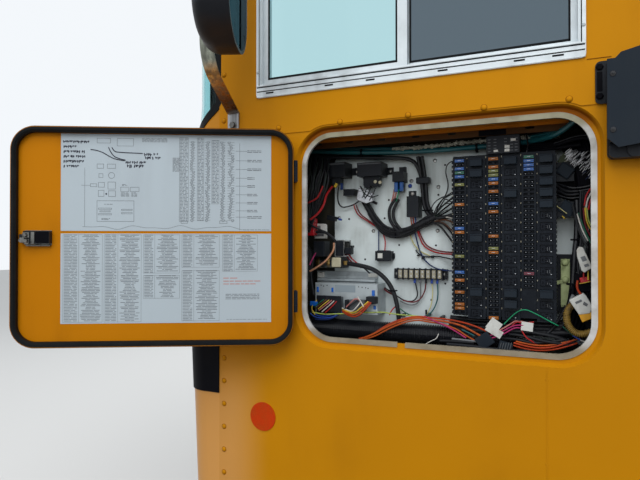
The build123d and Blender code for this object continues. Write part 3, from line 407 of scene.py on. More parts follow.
def buildMirrorSteel():
    # polished strap: grey foot, brown and orange where it leans, silvery grey above, brushed along its length
    material, tree, shader = shaderMaterial("mirrorSteel")
    colour = heightBlend(tree, ((0, 0, (0.34, 0.35, 0.36)), (1.006, 1.010, (0.16, 0.075, 0.03)),
                                (1.020, 1.045, (0.50, 0.23, 0.05)), (1.055, 1.085, (0.31, 0.33, 0.27))))
    streaks = patches(tree, 90.0, 5, 0.35, 0.7, (1, 1, 0.06))
    dark = mixColours(tree, 0.62, colour, (0.06, 0.055, 0.05, 1))
    tree.links.new(mixColours(tree, streaks, colour, dark), shader.inputs["Base Color"])
    shader.inputs["Metallic"].default_value = 0.75
    tree.links.new(spreadTo(tree, streaks, 0.22, 0.5), shader.inputs["Roughness"])
    return material


def buildMoulded(name, steps, stain, scale, share):
    # colours one above another, with darker patches of the stain over them
    material, tree, shader = shaderMaterial(name)
    colour = heightBlend(tree, steps)
    dark = mixColours(tree, share, colour, (*stain, 1))
    stained = mixColours(tree, patches(tree, scale, 7, 0.35, 0.75), colour, dark)
    tree.links.new(stained, shader.inputs["Base Color"])
    shader.inputs["Roughness"].default_value = 0.45
    shader.inputs["Specular IOR Level"].default_value = 0.12
    addBump(tree, shader, scaledNoise(tree, 500.0, 2), 0.05, 0.01)
    return material


def buildReflectorFace():
    # red-orange lens with a fine prism grid under it, faded in patches, with painted glints lighter along the
    # grid
    material, tree, shader = shaderMaterial("reflexLens")
    coordinates = tree.nodes.new("ShaderNodeTexCoord")
    cells = tree.nodes.new("ShaderNodeTexVoronoi")
    cells.inputs["Scale"].default_value = 420
    tree.links.new(coordinates.outputs["Object"], cells.inputs["Vector"])
    fade = patches(tree, 55.0, 6, 0.4, 0.75)
    face = mixColours(tree, fade, (0.50, 0.032, 0.0, 1), (0.40, 0.045, 0.002, 1))
    glint = product(tree, stepRange(tree, cells.outputs["Distance"], 0.2, 0.9), 0.5)
    tree.links.new(mixColours(tree, glint, face, (0.58, 0.055, 0.0, 1)), shader.inputs["Base Color"])
    shader.inputs["Roughness"].default_value = 0.3
    shader.inputs["Specular IOR Level"].default_value = 0.15
    addBump(tree, shader, cells.outputs["Distance"], 0.12, 0.002)
    return material


materials = {name: buildMaterial(name, finish) for name, finish in finishes.items()}
materials["glass"] = buildGlass()
materials["mirror"] = buildMirrorGlass()
materials["mirrorSteel"] = buildMirrorSteel()
# black moulding, lighter blue-grey over its top as a painted highlight, browner under its belly, and cream
# edging, dirty at the bottom and with painted shade at the top
caseSteps = ((0, 0, (0.030, 0.016, 0.009)), (1.085, 1.12, (0.010, 0.011, 0.014)),
             (1.130, 1.165, (0.080, 0.104, 0.138)))
materials["mirrorCase"] = buildMoulded("mirrorCase", caseSteps, (0.006, 0.006, 0.007), 22.0, 0.4)
trimSteps = ((0, 0, (0.30, 0.26, 0.19)), (0.490, 0.520, (0.60, 0.61, 0.605)),
             (0.900, 0.925, (0.34, 0.325, 0.235)))
materials["trimEdging"] = buildMoulded("trimEdging", trimSteps, (0.17, 0.14, 0.09), 34.0, 0.55)
materials["reflector"] = buildReflectorFace()
print("materials", len(materials))

# CAD nodes take the material of their slot, apart from these
ownMaterial = {"fuse_board": "board_plastic", "door_pan": "doorYellow", "bay_ceiling": "shadedYellow",
               "corner_garnish": "deepBlack", "window_frame": "windowMetal", "window_sashes": "windowMetal",
               "mirror_arms": "mirrorSteel", "mirror_head": "mirrorCase", "terminal_posts": "dullCream",
               "bay_trim": "trimEdging", "lower_side_panel": "recessYellow",
               "upper_side_panel": "recessYellow", "corner_panel": "fadedYellow"}
for subpart in record["subparts"]:
    node = subpart["node"]
    finishName = ownMaterial.get(node, subpart["material_slot"])
    cadObject = frame["nodes"][node]
    for slotNumber in range(max(1, len(cadObject.material_slots))):
        if cadObject.material_slots:
            cadObject.material_slots[slotNumber].material = materials[finishName]
        else:
            cadObject.data.materials.append(materials[finishName])


# Mesh makers

def newObject(name, data):
    thing = bpy.data.objects.new(name, data)
    bpy.context.scene.collection.objects.link(thing)
    return thing


def finishPiece(name, data, finishName, slotName, body):
    # the slot name falls back to the finish's own, but is not used: the piece gets only its finish's material
    slotName = slotName or finishName
    data.materials.append(materials[finishName])
    piece = newObject(name, data)
    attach(piece, body)
    return piece


def addPiece(name, vertices, faces, finishName, slotName=None, body="wall", smooth=False, merge=0.0):
    mesh = bpy.data.meshes.new(name)
    mesh.from_pydata(np.asarray(vertices).reshape(-1, 3).tolist(), [], faces)
    if merge:
        shape = bmesh.new()
        shape.from_mesh(mesh)
        bmesh.ops.remove_doubles(shape, verts=shape.verts, dist=merge)
        bmesh.ops.dissolve_degenerate(shape, edges=shape.edges, dist=merge)
        shape.to_mesh(mesh)
        shape.free()
    mesh.polygons.foreach_set("use_smooth", np.full(len(mesh.polygons), smooth))
    return finishPiece(name, mesh, finishName, slotName, body)


def roundEdges(piece, width):
    if width:
        edge = piece.modifiers.new("edge", "BEVEL")
        edge.width = width * millimetre
        edge.segments = 2
        edge.limit_method = "ANGLE"
    return piece


def gridQuads(rows, columns, closed=True):
    # each cell's corners: its own, the next row's, then both in the next column
    # closed joins the last column to the first
    i, j = np.meshgrid(np.arange(rows - 1), np.arange(columns if closed else columns - 1), indexing="ij")
    after = (j + 1) % columns
    quads = np.stack([i * columns + j, (i + 1) * columns + j, (i + 1) * columns + after, i * columns + after],
                     axis=-1)
    return quads.reshape(-1, 4)


cubeFaces = np.array([[0, 2, 3, 1], [4, 5, 7, 6], [0, 1, 5, 4], [2, 6, 7, 3], [0, 4, 6, 2], [1, 3, 7, 5]])


def addBoxes(name, boxes, finishName, slotName=None, body="wall", bevel=0.0, turns=None, door=False):
    # each box runs from its low to its high corner, then leans by its turn
    # about the depth axis through its middle
    boxes = np.asarray(boxes, dtype=float)
    middle = boxes.mean(axis=1)[:, None, :]
    half = ((boxes[:, 1] - boxes[:, 0]) / 2)[:, None, :]
    signs = np.array([[i, j, k] for i in (-1, 1) for j in (-1, 1) for k in (-1, 1)])[None, :, :]
    corners = signs * half
    if turns is not None:
        turn = np.radians(np.asarray(turns, dtype=float))[:, None]
        x = corners[..., 0] * np.cos(turn) - corners[..., 2] * np.sin(turn)
        z = corners[..., 0] * np.sin(turn) + corners[..., 2] * np.cos(turn)
        corners = np.stack([x, np.broadcast_to(corners[..., 1], x.shape), z], axis=-1)
    corners = corners + middle
    if door:
        corners = onDoor(corners)
    faces = (cubeFaces[None] + 8 * np.arange(len(boxes))[:, None, None]).reshape(-1, 4).tolist()
    return roundEdges(addPiece(name, place(corners), faces, finishName, slotName, body), bevel)


def addTurned(name, profile, places, finishName, slotName=None, body="wall", axis=outward, sides=12,
              door=False):
    # a profile of (radius, height) pairs spun about an axis through each place
    profile = np.asarray(profile, dtype=float)
    places = np.asarray(places, dtype=float)
    axis = np.asarray(axis, dtype=float)
    across = np.cross(axis, (0.0, 0.0, 1.0)) if abs(axis[2]) < 0.9 else np.array([1.0, 0.0, 0.0])
    across = across / np.linalg.norm(across)
    other = np.cross(axis, across)
    angle = np.arange(sides) * 2 * pi / sides
    circle = np.cos(angle)[:, None] * across + np.sin(angle)[:, None] * other
    ring = profile[:, 0, None, None] * circle[None] + profile[:, 1, None, None] * axis
    points = places[:, None, None, :] + ring[None]
    if door:
        points = onDoor(points)
    ringQuads = gridQuads(len(profile), sides)[:, [0, 3, 2, 1]]
    quads = ringQuads[None] + (len(profile) * sides * np.arange(len(places)))[:, None, None]
    return addPiece(name, place(points), quads.reshape(-1, 4).tolist(), finishName, slotName, body,
                    smooth=sides > 8, merge=1e-6)


def newCurve(name, routes, steps):
    # one smooth line for each route, its points the line's control points
    curve = bpy.data.curves.new(name, "CURVE")
    curve.dimensions = "3D"
    curve.resolution_u = steps
    for route in routes:
        spline = curve.splines.new("NURBS")
        spline.points.add(len(route) - 1)
        points = np.hstack([np.asarray(route, dtype=float), np.ones((len(route), 1))])
        spline.points.foreach_set("co", points.ravel())
        spline.order_u = 3
        spline.use_endpoint_u = True
    return curve


def addLines(name, routes, diameter, finishName, slotName="black_plastic", body="wall"):
    # every route is a round line of one diameter, in millimetres
    curve = newCurve(name, [place(route) for route in routes], 6)
    curve.bevel_depth = diameter * millimetre / 2
    curve.bevel_resolution = 2
    curve.use_fill_caps = True
    return finishPiece(name, curve, finishName, slotName, body)


def readLine(route):
    # points along the smooth line that has the route as its control points, in millimetres
    curve = newCurve("reading", [route], 24)
    carrier = bpy.data.objects.new("reading", curve)
    mesh = bpy.data.meshes.new_from_object(carrier)
    points = np.empty(len(mesh.vertices) * 3)
    mesh.vertices.foreach_get("co", points)
    bpy.data.objects.remove(carrier)
    bpy.data.meshes.remove(mesh)
    bpy.data.curves.remove(curve)
    return points.reshape(-1, 3)


def addRibbedTube(name, route, radius, rib, pitch, finishName, slotName, sides, perRib):
    # a circle carried along the line, its radius rising and falling once each rib
    line = readLine(route)
    step = np.linalg.norm(np.diff(line, axis=0), axis=1)
    along = np.concatenate([[0], np.cumsum(step)])
    count = int(along[-1] / pitch * perRib)
    spots = np.linspace(0, along[-1], count)
    centre = np.stack([np.interp(spots, along, line[:, k]) for k in range(3)], axis=1)
    ahead = np.gradient(centre, axis=0)
    ahead /= np.linalg.norm(ahead, axis=1)[:, None]
    across = np.cross(ahead, (0.0, 1.0, 0.0))
    across /= np.linalg.norm(across, axis=1)[:, None]
    other = np.cross(ahead, across)
    size = radius + rib * np.cos(2 * pi * spots / pitch)
    size[0] = size[-1] = 0.0
    angle = np.arange(sides) * 2 * pi / sides
    ring = np.cos(angle)[None, :, None] * across[:, None] + np.sin(angle)[None, :, None] * other[:, None]
    points = centre[:, None] + size[:, None, None] * ring
    return addPiece(name, place(points), gridQuads(count, sides).tolist(), finishName, slotName, smooth=True,
                    merge=1e-6)


def addCutouts(name, outlines, depths, finishName, slotName=None, bevel=0.0):
    # flat pieces: each outline of (X, Z) corners is carried from the front depth to the back depth
    vertices = []
    faces = []
    for outline, (front, back) in zip(outlines, depths):
        corners = np.asarray(outline, dtype=float)
        turn = np.roll(corners, -1, axis=0)
        if np.sum(corners[:, 0] * turn[:, 1] - turn[:, 0] * corners[:, 1]) < 0:
            corners = corners[::-1]
        count = len(corners)
        start = len(vertices)
        for depth in (front, back):
            vertices.extend(np.column_stack([corners[:, 0], np.full(count, depth), corners[:, 1]]))
        ring = np.arange(count)
        after = (ring + 1) % count
        faces.append((start + ring).tolist())
        faces.append((start + count + ring[::-1]).tolist())
        faces.extend(np.stack([start + after, start + ring, start + count + ring, start + count + after],
                              axis=1).tolist())
    return roundEdges(addPiece(name, place(vertices), faces, finishName, slotName), bevel)


def addMarks(name, marks, depth, finishName):
    # flat marks on the door's inner face: each runs between two (along, Z) corners,
    # along counted from the hinge
    marks = np.asarray(marks, dtype=float)
    low, high = marks[:, :2], marks[:, 2:4]
    lean = marks[:, 4] if marks.shape[1] > 4 else np.zeros(len(marks))
    x = np.stack([low[:, 0], low[:, 0] + lean, high[:, 0] + lean, high[:, 0]], axis=1) + doorHinge["x"]
    z = np.stack([low[:, 1], high[:, 1], high[:, 1], low[:, 1]], axis=1)
    points = np.stack([x, np.full_like(x, depth), z], axis=-1)
    faces = (np.arange(4)[None, ::-1] + 4 * np.arange(len(marks))[:, None]).tolist()
    return addPiece(name, place(onDoor(points)), faces, finishName, "label", "access_door")


# Rivets and screws of the wall

rivets = {"radius": 5.7, "proud": 3.4, "beltZ": 961.0, "beltFirstX": -355.5, "beltPitch": 152.5,
          "beltCount": 7, "beltGap": (290, 500), "cornerX": -505.0, "cornerPitch": 54.8, "cornerLowZ": 90.0,
          "cornerCount": 16, "pillarZ": (991.0, 1102.0, 1213.0, 1324.0, 1435.0, 1546.0, 1657.0),
          "lapX": 214.5, "lapPitch": 158.0, "lapFirstZ": 122.0, "lapCount": 3, "rowX": (-490, 590),
          "headZ": 1728.0, "headPitch": 118.0, "sillZ": 38.0, "sillPitch": 114.0}


def buildRivets():
    radius, proud = rivets["radius"], rivets["proud"]
    dome = [(0, proud), (0.5 * radius, 0.86 * proud), (0.86 * radius, 0.5 * proud), (radius, 0),
            (radius, -0.6), (0, -0.6)]
    belt = [(rivets["beltFirstX"] + n * rivets["beltPitch"], -2.0, rivets["beltZ"])
            for n in range(rivets["beltCount"])]
    belt = [spot for spot in belt if not rivets["beltGap"][0] < spot[0] < rivets["beltGap"][1]]
    corner = [(rivets["cornerX"], 0.0, rivets["cornerLowZ"] + n * rivets["cornerPitch"])
              for n in range(rivets["cornerCount"])]
    pillar = [(rivets["cornerX"], -2.0, z) for z in rivets["pillarZ"]]
    lap = [(rivets["lapX"], 0.0, rivets["lapFirstZ"] + n * rivets["lapPitch"])
           for n in range(rivets["lapCount"])]
    head = [(x, -2.0, rivets["headZ"]) for x in np.arange(*rivets["rowX"], rivets["headPitch"])]
    sill = [(x, 0.0, rivets["sillZ"]) for x in np.arange(*rivets["rowX"], rivets["sillPitch"])]
    spots = belt + corner + pillar + head + sill
    flush = [(0, 0.7), (2.6, 0.5), (3.4, 0), (3.4, -0.3), (0, -0.3)]
    addTurned("lapRivets", flush, lap, "yellow_paint")
    addTurned("wallRivets", dome, spots, "yellow_paint", sides=16)
    # painted shadow: a darker yellow ring round the foot of each rivet
    seat = [(radius - 1, 0.3), (radius + 0.5, 0.3), (radius + 0.9, 0), (radius - 1, 0)]
    addTurned("rivetSeats", seat, spots, "seatYellow", "yellow_paint", sides=16)


def buildWallSeams():
    # the upright lap of the lower panel, painted over, and the bead along the belt
    addBoxes("panelLap", [((213.2, -0.7, 2), (216, 0.0, 462))], "yellow_paint", bevel=0.3)
    addBoxes("rearFold", [((284, -3.0, 1029.8), (324, -1.6, 1031.4))], "seatYellow", "yellow_paint",
             bevel=0.4)


buildRivets()
buildWallSeams()

# Window: weep slots, screws and black glazing rubber

window = {"x": (-413.0, 283.0), "z": (1034.0, 1680.7), "meeting": (-75.5, -54.5), "face": -5.5,
          "paneX": (-387.7, 257.7), "paneZ": (1077.3, 1655.4)}


def buildWindowDetail():
    x0, x1 = window["x"]
    low, high = window["z"]
    slots = [((x - 10, -5.7, low + 8), (x + 10, -5.2, low + 11.5)) for x in (-377, -228, -132, 22, 168, 236)]
    addBoxes("weepSlots", slots, "deepBlack", "rubber")
    lip = [((x0 + 1, -7.5, low + 26.0), (x1 - 1, -5.3, low + 28.6)),
           ((x0 + 1, -6.5, low + 1.0), (x1 - 1, -5.3, low + 3.0)),
           ((x0 + 1, -6.8, low + 15.5), (x1 - 1, -5.3, low + 17.0))]
    addBoxes("sillBead", lip, "windowMetal", "aluminium", bevel=0.5)
    channels = [((x0 + 2, -5.6, low + 23.2), (x1 - 2, -5.25, low + 25.6)),
                ((x0 + 2, -5.6, low + 13.4), (x1 - 2, -5.25, low + 15.2)),
                ((x0 + 6.6, -5.6, low + 26), (x0 + 8.6, -5.25, high - 8)),
                ((x1 - 8.6, -5.6, low + 26), (x1 - 6.6, -5.25, high - 8))]
    addBoxes("frameGrooves", channels, "deepBlack", "rubber")
    screw = [(0, 1.4), (2.2, 1.2), (3.4, 0.5), (3.6, 0), (3.6, -0.5), (0, -0.5)]
    spots = [(x, window["face"], z) for x in (x0 + 4, x1 - 4) for z in np.arange(low + 60, high, 175)]
    spots += [(x, window["face"], high - 5) for x in np.arange(x0 + 60, x1, 145)]
    addTurned("windowScrews", screw, spots, "aluminium")
    bottom, top = window["paneZ"]
    strips = []
    for left, right, depth in ((window["paneX"][0], window["meeting"][0], 5.2),
                               (window["meeting"][1], window["paneX"][1], 23.2)):
        strips += [((left, depth, bottom), (left + 4, depth + 3, top)),
                   ((right - 4, depth, bottom), (right, depth + 3, top)),
                   ((left, depth, bottom), (right, depth + 3, bottom + 5)),
                   ((left, depth, top - 4), (right, depth + 3, top))]
    addBoxes("glazingRubber", strips, "rubber", bevel=0.8)


buildWindowDetail()

# Mirror: bolts on both feet

def buildMirrorBolts():
    hexHead = [(0, 6.5), (6.6, 6.5), (7.4, 5.8), (7.4, 0.6), (9.5, 0.4), (9.5, -0.2), (0, -0.2)]
    addTurned("mirrorFootBolts", hexHead, [(-476, -7.0, 977), (-476, -7.0, 1669)], "wornSteel", "steel",
              sides=6)


buildMirrorBolts()

# Stop arm: bolts, blade border and lamps

stopArm = {"flangeBolts": ((304.8, -6.0, 1012.5), (304.8, -6.0, 959.5)),
           "guardScrews": ((323, -49.0, 986.5), (323, -49.0, 889.7)), "bladeMiddle": (630.5, 938.0),
           "bladeWidth": 457.0, "border": 20.0, "bladeDepth": (-46.0, -43.0), "lampRadius": 62.0,
           "lampRise": 132.0}


def buildStopArmDetail():
    hexHead = [(0, 5), (4.8, 5), (5.6, 4.2), (5.6, 0.6), (7, 0.5), (7, -0.2), (0, -0.2)]
    addTurned("stopFlangeBolts", hexHead, stopArm["flangeBolts"], "deepBlack", "dark_paint", sides=6)
    addBoxes("stopFlangeSlot", [((300.3, -6.3, 968), (309.3, -5.6, 1004))], "deepBlack", "dark_paint",
             bevel=1.0)
    panHead = [(0, 3.2), (1.6, 3.2), (1.8, 2.0), (3.8, 1.8), (5.0, 0.8), (5.3, 0), (5.3, -0.3), (0, -0.3)]
    addTurned("guardScrews", panHead, stopArm["guardScrews"], "glossBlack", "dark_paint", body="stop_arm",
              sides=14)
    middle = np.array(stopArm["bladeMiddle"])
    angle = radians(22.5) + np.arange(8) * pi / 4
    outer = stopArm["bladeWidth"] / 2 / cos(pi / 8) - 0.3
    inner = outer - stopArm["border"] / cos(pi / 8)
    points = []
    faces = []
    for side, (depth, sign) in enumerate(((stopArm["bladeDepth"][0] - 0.25, 1),
                                          (stopArm["bladeDepth"][1] + 0.25, -1))):
        for radius in (outer, inner):
            for a in angle:
                points.append((middle[0] + radius * cos(a), depth, middle[1] + radius * sin(a)))
        start = 16 * side
        for k in range(8):
            n = (k + 1) % 8
            quad = [start + k, start + n, start + 8 + n, start + 8 + k]
            faces.append(quad if sign > 0 else quad[::-1])
    addPiece("bladeBorder", place(points), faces, "white_plastic", "red_sheet", body="stop_arm")
    radius, rise = stopArm["lampRadius"], stopArm["lampRise"]
    lens = [(0, 13), (0.45 * radius, 11.5), (0.78 * radius, 7.5), (radius - 5, 3.4), (radius - 4, 1.6)]
    rim = [(radius - 5.5, 2.2), (radius - 3.5, 3.8), (radius, 3.2), (radius + 1, 0), (radius - 5.5, 0)]
    for side, depth, axis in (("", stopArm["bladeDepth"][0], outward),
                              ("Back", stopArm["bladeDepth"][1], (0, 1, 0))):
        spots = [(middle[0], depth, middle[1] + s * rise) for s in (-1, 1)]
        addTurned("lampLenses" + side, lens, spots, "red_plastic", "red_sheet", body="stop_arm", sides=32,
                  axis=axis)
        addTurned("lampRims" + side, rim, spots, "black_plastic", body="stop_arm", sides=32, axis=axis)


buildStopArmDetail()
print("outside done")

# Access door: printed sheets, pen marks and the latch

sheets = {"along": (53.0, 505.0),  # from the hinge axis to the near and the far edge
          "upperZ": (721.5, 932.0), "lowerZ": (521.0, 716.0), "printDepth": -11.2}


def wordRows(left, right, bottom, top, pitch, height, wordLength, gapLength):
    # rows of word-long dashes across a column; left is the reader's left, which is far from the hinge
    marks = []
    z = top
    while z - height > bottom:
        spot = left
        while spot > right + 2:
            length = random.uniform(*wordLength)
            end = max(spot - length, right)
            marks.append((end, z - height, spot, z))
            spot = end - random.uniform(*gapLength)
        z -= pitch
    return marks


def frameMarks(left, right, bottom, top, line):
    return [(right, top - line, left, top), (right, bottom, left, bottom + line),
            (left - line, bottom, left, top), (right, bottom, right + line, top)]


def sheetSpan(high, left, right, top, bottom):
    # the reader's left and right edge, the bottom and the top of a box given by shares and drops
    return sheetX(left), sheetX(right), high - bottom, high - top


def sheetX(share):
    # share runs from the reader's left edge of the sheet to its right edge
    return sheets["along"][1] - share * (sheets["along"][1] - sheets["along"][0])


# lower sheet's tables: left, split and right share of the width,
# then the shares of the height they fill from the top
tables = ((0.012, 0.085, 0.195, ((0.015, 0.985),)), (0.204, 0.268, 0.378, ((0.015, 0.985),)),
          (0.388, 0.442, 0.560, ((0.015, 0.443), (0.47, 0.725))),
          (0.571, 0.628, 0.750, ((0.015, 0.38), (0.416, 0.98))), (0.765, 0.822, 0.934, ((0.015, 0.425),)))
# upper sheet's drawing: boxes by left and right share, top and bottom drop from the sheet's top edge
drawnBoxes = ((0.168, 0.200, 65, 75), (0.216, 0.256, 65, 75), (0.1765, 0.197, 86, 95),
              (0.174, 0.204, 105, 116), (0.219, 0.256, 104, 120), (0.174, 0.202, 122, 136),
              (0.222, 0.256, 123, 136), (0.137, 0.168, 108, 115), (0.279, 0.319, 115, 125),
              (0.324, 0.367, 115, 125), (0.168, 0.343, 144.6, 190.2), (0.175, 0.238, 160.5, 164.0),
              (0.181, 0.232, 166.5, 169.5), (0.175, 0.238, 172.5, 176.0), (0.283, 0.335, 163.0, 166.0),
              (0.283, 0.335, 170.0, 173.5), (0.168, 0.232, 9, 20), (0.262, 0.340, 9, 26),
              (0.565, 0.597, 188, 194), (0.750, 0.787, 188, 194))
drawnText = ((0.286, 0.310, 109, 113), (0.281, 0.319, 127, 136), (0.330, 0.357, 127, 136),
             (0.203, 0.243, 152, 155), (0.19, 0.23, 183, 187), (0.38, 0.50, 8, 18),
             (0.862, 0.990, 207, 209.5), (0.525, 0.561, 50.4, 82))
leaders = ((34, 0.952), (55, 0.954), (74, 0.952), (93.5, 0.919), (111, 0.921), (130, 0.934), (148, 0.934),
           (165.4, 0.934), (179.3, 0.956))
connectors = ((0.560, 0.598, 6, 190), (0.645, 0.672, 6, 188), (0.715, 0.745, 11, 151))
pinChains = ((0.607, 0.634), (0.679, 0.706), (0.752, 0.778), (0.788, 0.822))
# pen strokes as (share, drop) points, and bold groups as left share, right share and drop
penRoutes = (((0.138, 34), (0.179, 35.5), (0.2325, 50.4), (0.256, 54.8), (0.297, 57.8)),
             ((0.222, 29), (0.2325, 40.4), (0.256, 52.3), (0.3025, 56.3)),
             ((0.238, 29), (0.2455, 36.5), (0.265, 39.9), (0.383, 41.4)))
penGroups = ((0.392, 0.453, 40.5), (0.396, 0.469, 48.5), (0.302, 0.396, 58.5), (0.310, 0.394, 66.0))


def centredRows(left, right, bottom, top, pitch, height):
    # one dash run a row, its middle in the column's middle and its width drawn anew each time
    rows = int((top - bottom) / pitch)
    z = top - pitch * np.arange(rows)
    half = 0.5 * (left - right) * random.uniform(0.35, 0.97, rows)
    middle = 0.5 * (left + right)
    cut = middle + half * random.uniform(-0.6, 0.6, rows)
    return ([(c + 0.8, y - height, middle + h, y) for c, h, y in zip(cut, half, z)]
            + [(middle - h, y - height, c - 0.8, y) for c, h, y in zip(cut, half, z)])


def penRow(left, right, top, tallest, scrawl):
    # abstract bold strokes standing in a row, none of them a letter
    spot = left
    while spot > right:
        width = random.uniform(1.8, 4.2)
        tall = random.uniform(0.5, 1.0) * tallest
        lean = random.uniform(-1.8, 1.8)
        scrawl.append((spot - 2.0, top - tall, spot, top, lean))
        scrawl.append((spot - width, top - 0.6 * tall, spot, top - 0.6 * tall + 1.9, 0))
        spot -= width + (random.uniform(2.5, 5.0) if random.random() < 0.16 else random.uniform(0.3, 1.0))


def buildLowerSheet():
    low, high = sheets["lowerZ"]
    tall = high - low
    depth = sheets["printDepth"]
    rows = []
    for left, split, right, spans in tables:
        for start, end in spans:
            top, bottom = high - start * tall, high - end * tall
            rows += wordRows(sheetX(left + 0.004), sheetX(split - 0.008), bottom, top, 3.25, 1.15, (8, 22),
                             (0.8, 3.5))
            rows += centredRows(sheetX(split + 0.004), sheetX(right - 0.004), bottom, top, 3.25, 1.25)
            rows += [(sheetX(share), bottom, sheetX(share) + 0.5, top) for share in (left, split, right)]
            rows += [(sheetX(right), z, sheetX(left), z + 0.5) for z in (bottom, top)]
    rows += wordRows(sheetX(0.78), sheetX(0.943), high - 0.755 * tall, high - 0.68 * tall, 3.4, 1.2, (5, 16),
                     (0.8, 2))
    rows += wordRows(sheetX(0.785), sheetX(0.98), high - 0.985 * tall, high - 0.965 * tall, 3.4, 0.9, (4, 9),
                     (1, 3))
    addMarks("lowerSheetRows", rows, depth, "ink")
    red = []
    for share, end in ((0.496, 0.846), (0.53, 0.956), (0.562, 0.925)):
        red += wordRows(sheetX(0.769), sheetX(end), high - share * tall - 3.4, high - share * tall, 6.0, 2.0,
                        (5, 16), (1.2, 3))
    addMarks("lowerSheetRed", red, depth, "redInk")


def buildUpperSheet():
    high = sheets["upperZ"][1]
    depth = sheets["printDepth"]
    rows = []
    for left, right, top, bottom in connectors:
        rows += wordRows(*sheetSpan(high, left, right, top, bottom), 3.1, 1.3, (3, 9), (0.8, 2.6))
        rows += frameMarks(*sheetSpan(high, left - 0.003, right + 0.003, top, bottom), 0.6)
    for left, right in pinChains:
        for z in np.arange(high - 14, high - 186, -5.9):
            middle = random.uniform(left + 0.008, right - 0.008)
            rows += frameMarks(sheetX(middle - 0.007), sheetX(middle + 0.007), z - 3.6, z, 0.9)
            rows += [(sheetX(right), z - 1.9, sheetX(middle + 0.008), z - 1.3),
                     (sheetX(middle - 0.008), z - 1.9, sheetX(left), z - 1.3),
                     (sheetX(middle + 0.004), z - 5.2, sheetX(middle - 0.005), z - 4.4)]
    for drop, end in leaders:
        rows += [(sheetX(0.884), high - drop - 0.7, sheetX(0.828), high - drop)]
        rows += wordRows(sheetX(0.884), sheetX(end), high - drop - 5.6, high - drop + 1.6, 3.3, 1.5, (5, 14),
                         (0.8, 2.2))
    for left, right, top, bottom in drawnBoxes:
        rows += frameMarks(*sheetSpan(high, left, right, top, bottom), 0.75)
    for left, right, top, bottom in drawnText:
        rows += wordRows(*sheetSpan(high, left, right, top, bottom), 2.4, 1.1, (3, 10), (0.6, 2))
    rows += [(sheetX(0.112), high - 201, sheetX(0.112) + 0.7, high - 74),
             (sheetX(0.848), high - 209, sheetX(0.848) + 0.7, high - 17),
             (sheetX(0.137), high - 112, sheetX(0.095), high - 111.3)]
    ring = np.linspace(0, 2 * pi, 25)[:-1]
    middleX, middleZ, radius, dot = sheetX(0.2365), high - 90, 6.4, 0.6
    rows += [(middleX + radius * cos(a) - dot, middleZ + radius * sin(a) - dot,
              middleX + radius * cos(a) + dot, middleZ + radius * sin(a) + dot) for a in ring]
    wave = np.arange(0.10, 0.86, 0.004)
    drop = 202.5 + 2.6 * np.sin(wave * 31) + 1.6 * np.sin(wave * 53)
    rows += [(sheetX(s + 0.0045), high - d - 0.7, sheetX(s), high - d) for s, d in zip(wave, drop)]
    addMarks("upperSheetRows", rows, depth, "ink")


def buildPenNotes():
    high = sheets["upperZ"][1]
    depth = sheets["printDepth"]
    scrawl = [(sheetX(0.2155), high - 132, sheetX(0.2085), high - 128.5, 0)]
    for line, end in enumerate((0.128, 0.073, 0.108, 0.110, 0.114, 0.078)):
        penRow(sheetX(0.012), sheetX(end), high - 15 - 10.6 * line, 6.4, scrawl)
    for left, right, top in penGroups:
        penRow(sheetX(left), sheetX(right), high - top, 7.6, scrawl)
    addMarks("penNotes", scrawl, depth, "pen")
    routes = [onDoor([(doorHinge["x"] + sheetX(share), depth + 0.1, high - drop) for share, drop in route])
              for route in penRoutes]
    addLines("penStrokes", routes, 1.9, "pen", "label", body="access_door")


latch = {"freeEdge": 300.0}


def buildLatch():
    # a dark steel plate under a black block, with three cams and a stepped tongue towards the free edge
    edge = latch["freeEdge"]
    plate = [((edge - 81, -12.3, 691.0), (edge - 24, -10.4, 722.5)),
             ((edge - 80, -11.0, 688.5), (edge - 30, -3.0, 691.0))]
    addBoxes("latchPlate", plate, "wornSteel", "steel", body="access_door", bevel=0.7, door=True)
    cams = [((edge - 51, 2.4, 692), (edge - 43, 5.0, 719)), ((edge - 41, 2.4, 706), (edge - 27, 6.4, 718)),
            ((edge - 40, 2.4, 693), (edge - 30, 5.6, 704)), ((edge - 30, -4.0, 696), (edge - 20, 4.6, 707)),
            ((edge - 24, -8.0, 698), (edge - 16.5, 2.0, 704))]
    addBoxes("latchCams", cams, "wornSteel", "steel", body="access_door", bevel=1.6, door=True)
    pads = [((edge - 80, 1.5, 695.5), (edge - 53, 4.4, 720.0)),
            ((edge - 53, 0.5, 697), (edge - 51, 3.4, 718))]
    addBoxes("latchPad", pads, "deepBlack", "black_plastic", body="access_door", bevel=1.2, door=True)
    nut = [(0, 7), (4.0, 7), (4.8, 6), (4.8, 0), (0, 0)]
    spots = [(edge - 35, 5.5, 700), (edge - 33, 6.2, 712)]
    addTurned("latchNuts", nut, spots, "wornSteel", "steel", body="access_door", axis=(0, 1, 0), sides=6,
              door=True)


hingeScrews = {"bodyX": (-348.0, -330.0), "doorX": (-290.0, -272.0), "heights": (565.0, 856.0),
               "rises": (-13.0, 13.0),
               "profile": ((0, 1.8), (2.4, 1.6), (4.2, 0.6), (4.6, 0), (4.6, -0.3), (0, -0.3))}


def buildHingeScrews():
    for name, key, depth, body in (("hingeScrews", "bodyX", -3.0, "wall"),
                                   ("leafScrews", "doorX", -17.0, "access_door")):
        spots = [(x, depth, z + rise) for x in hingeScrews[key] for z in hingeScrews["heights"]
                 for rise in hingeScrews["rises"]]
        addTurned(name, hingeScrews["profile"], spots, "dark_paint", body=body, door=body == "access_door")


buildLowerSheet()
buildUpperSheet()
buildPenNotes()
buildLatch()
buildHingeScrews()
print("door done")

# Fuse and relay board

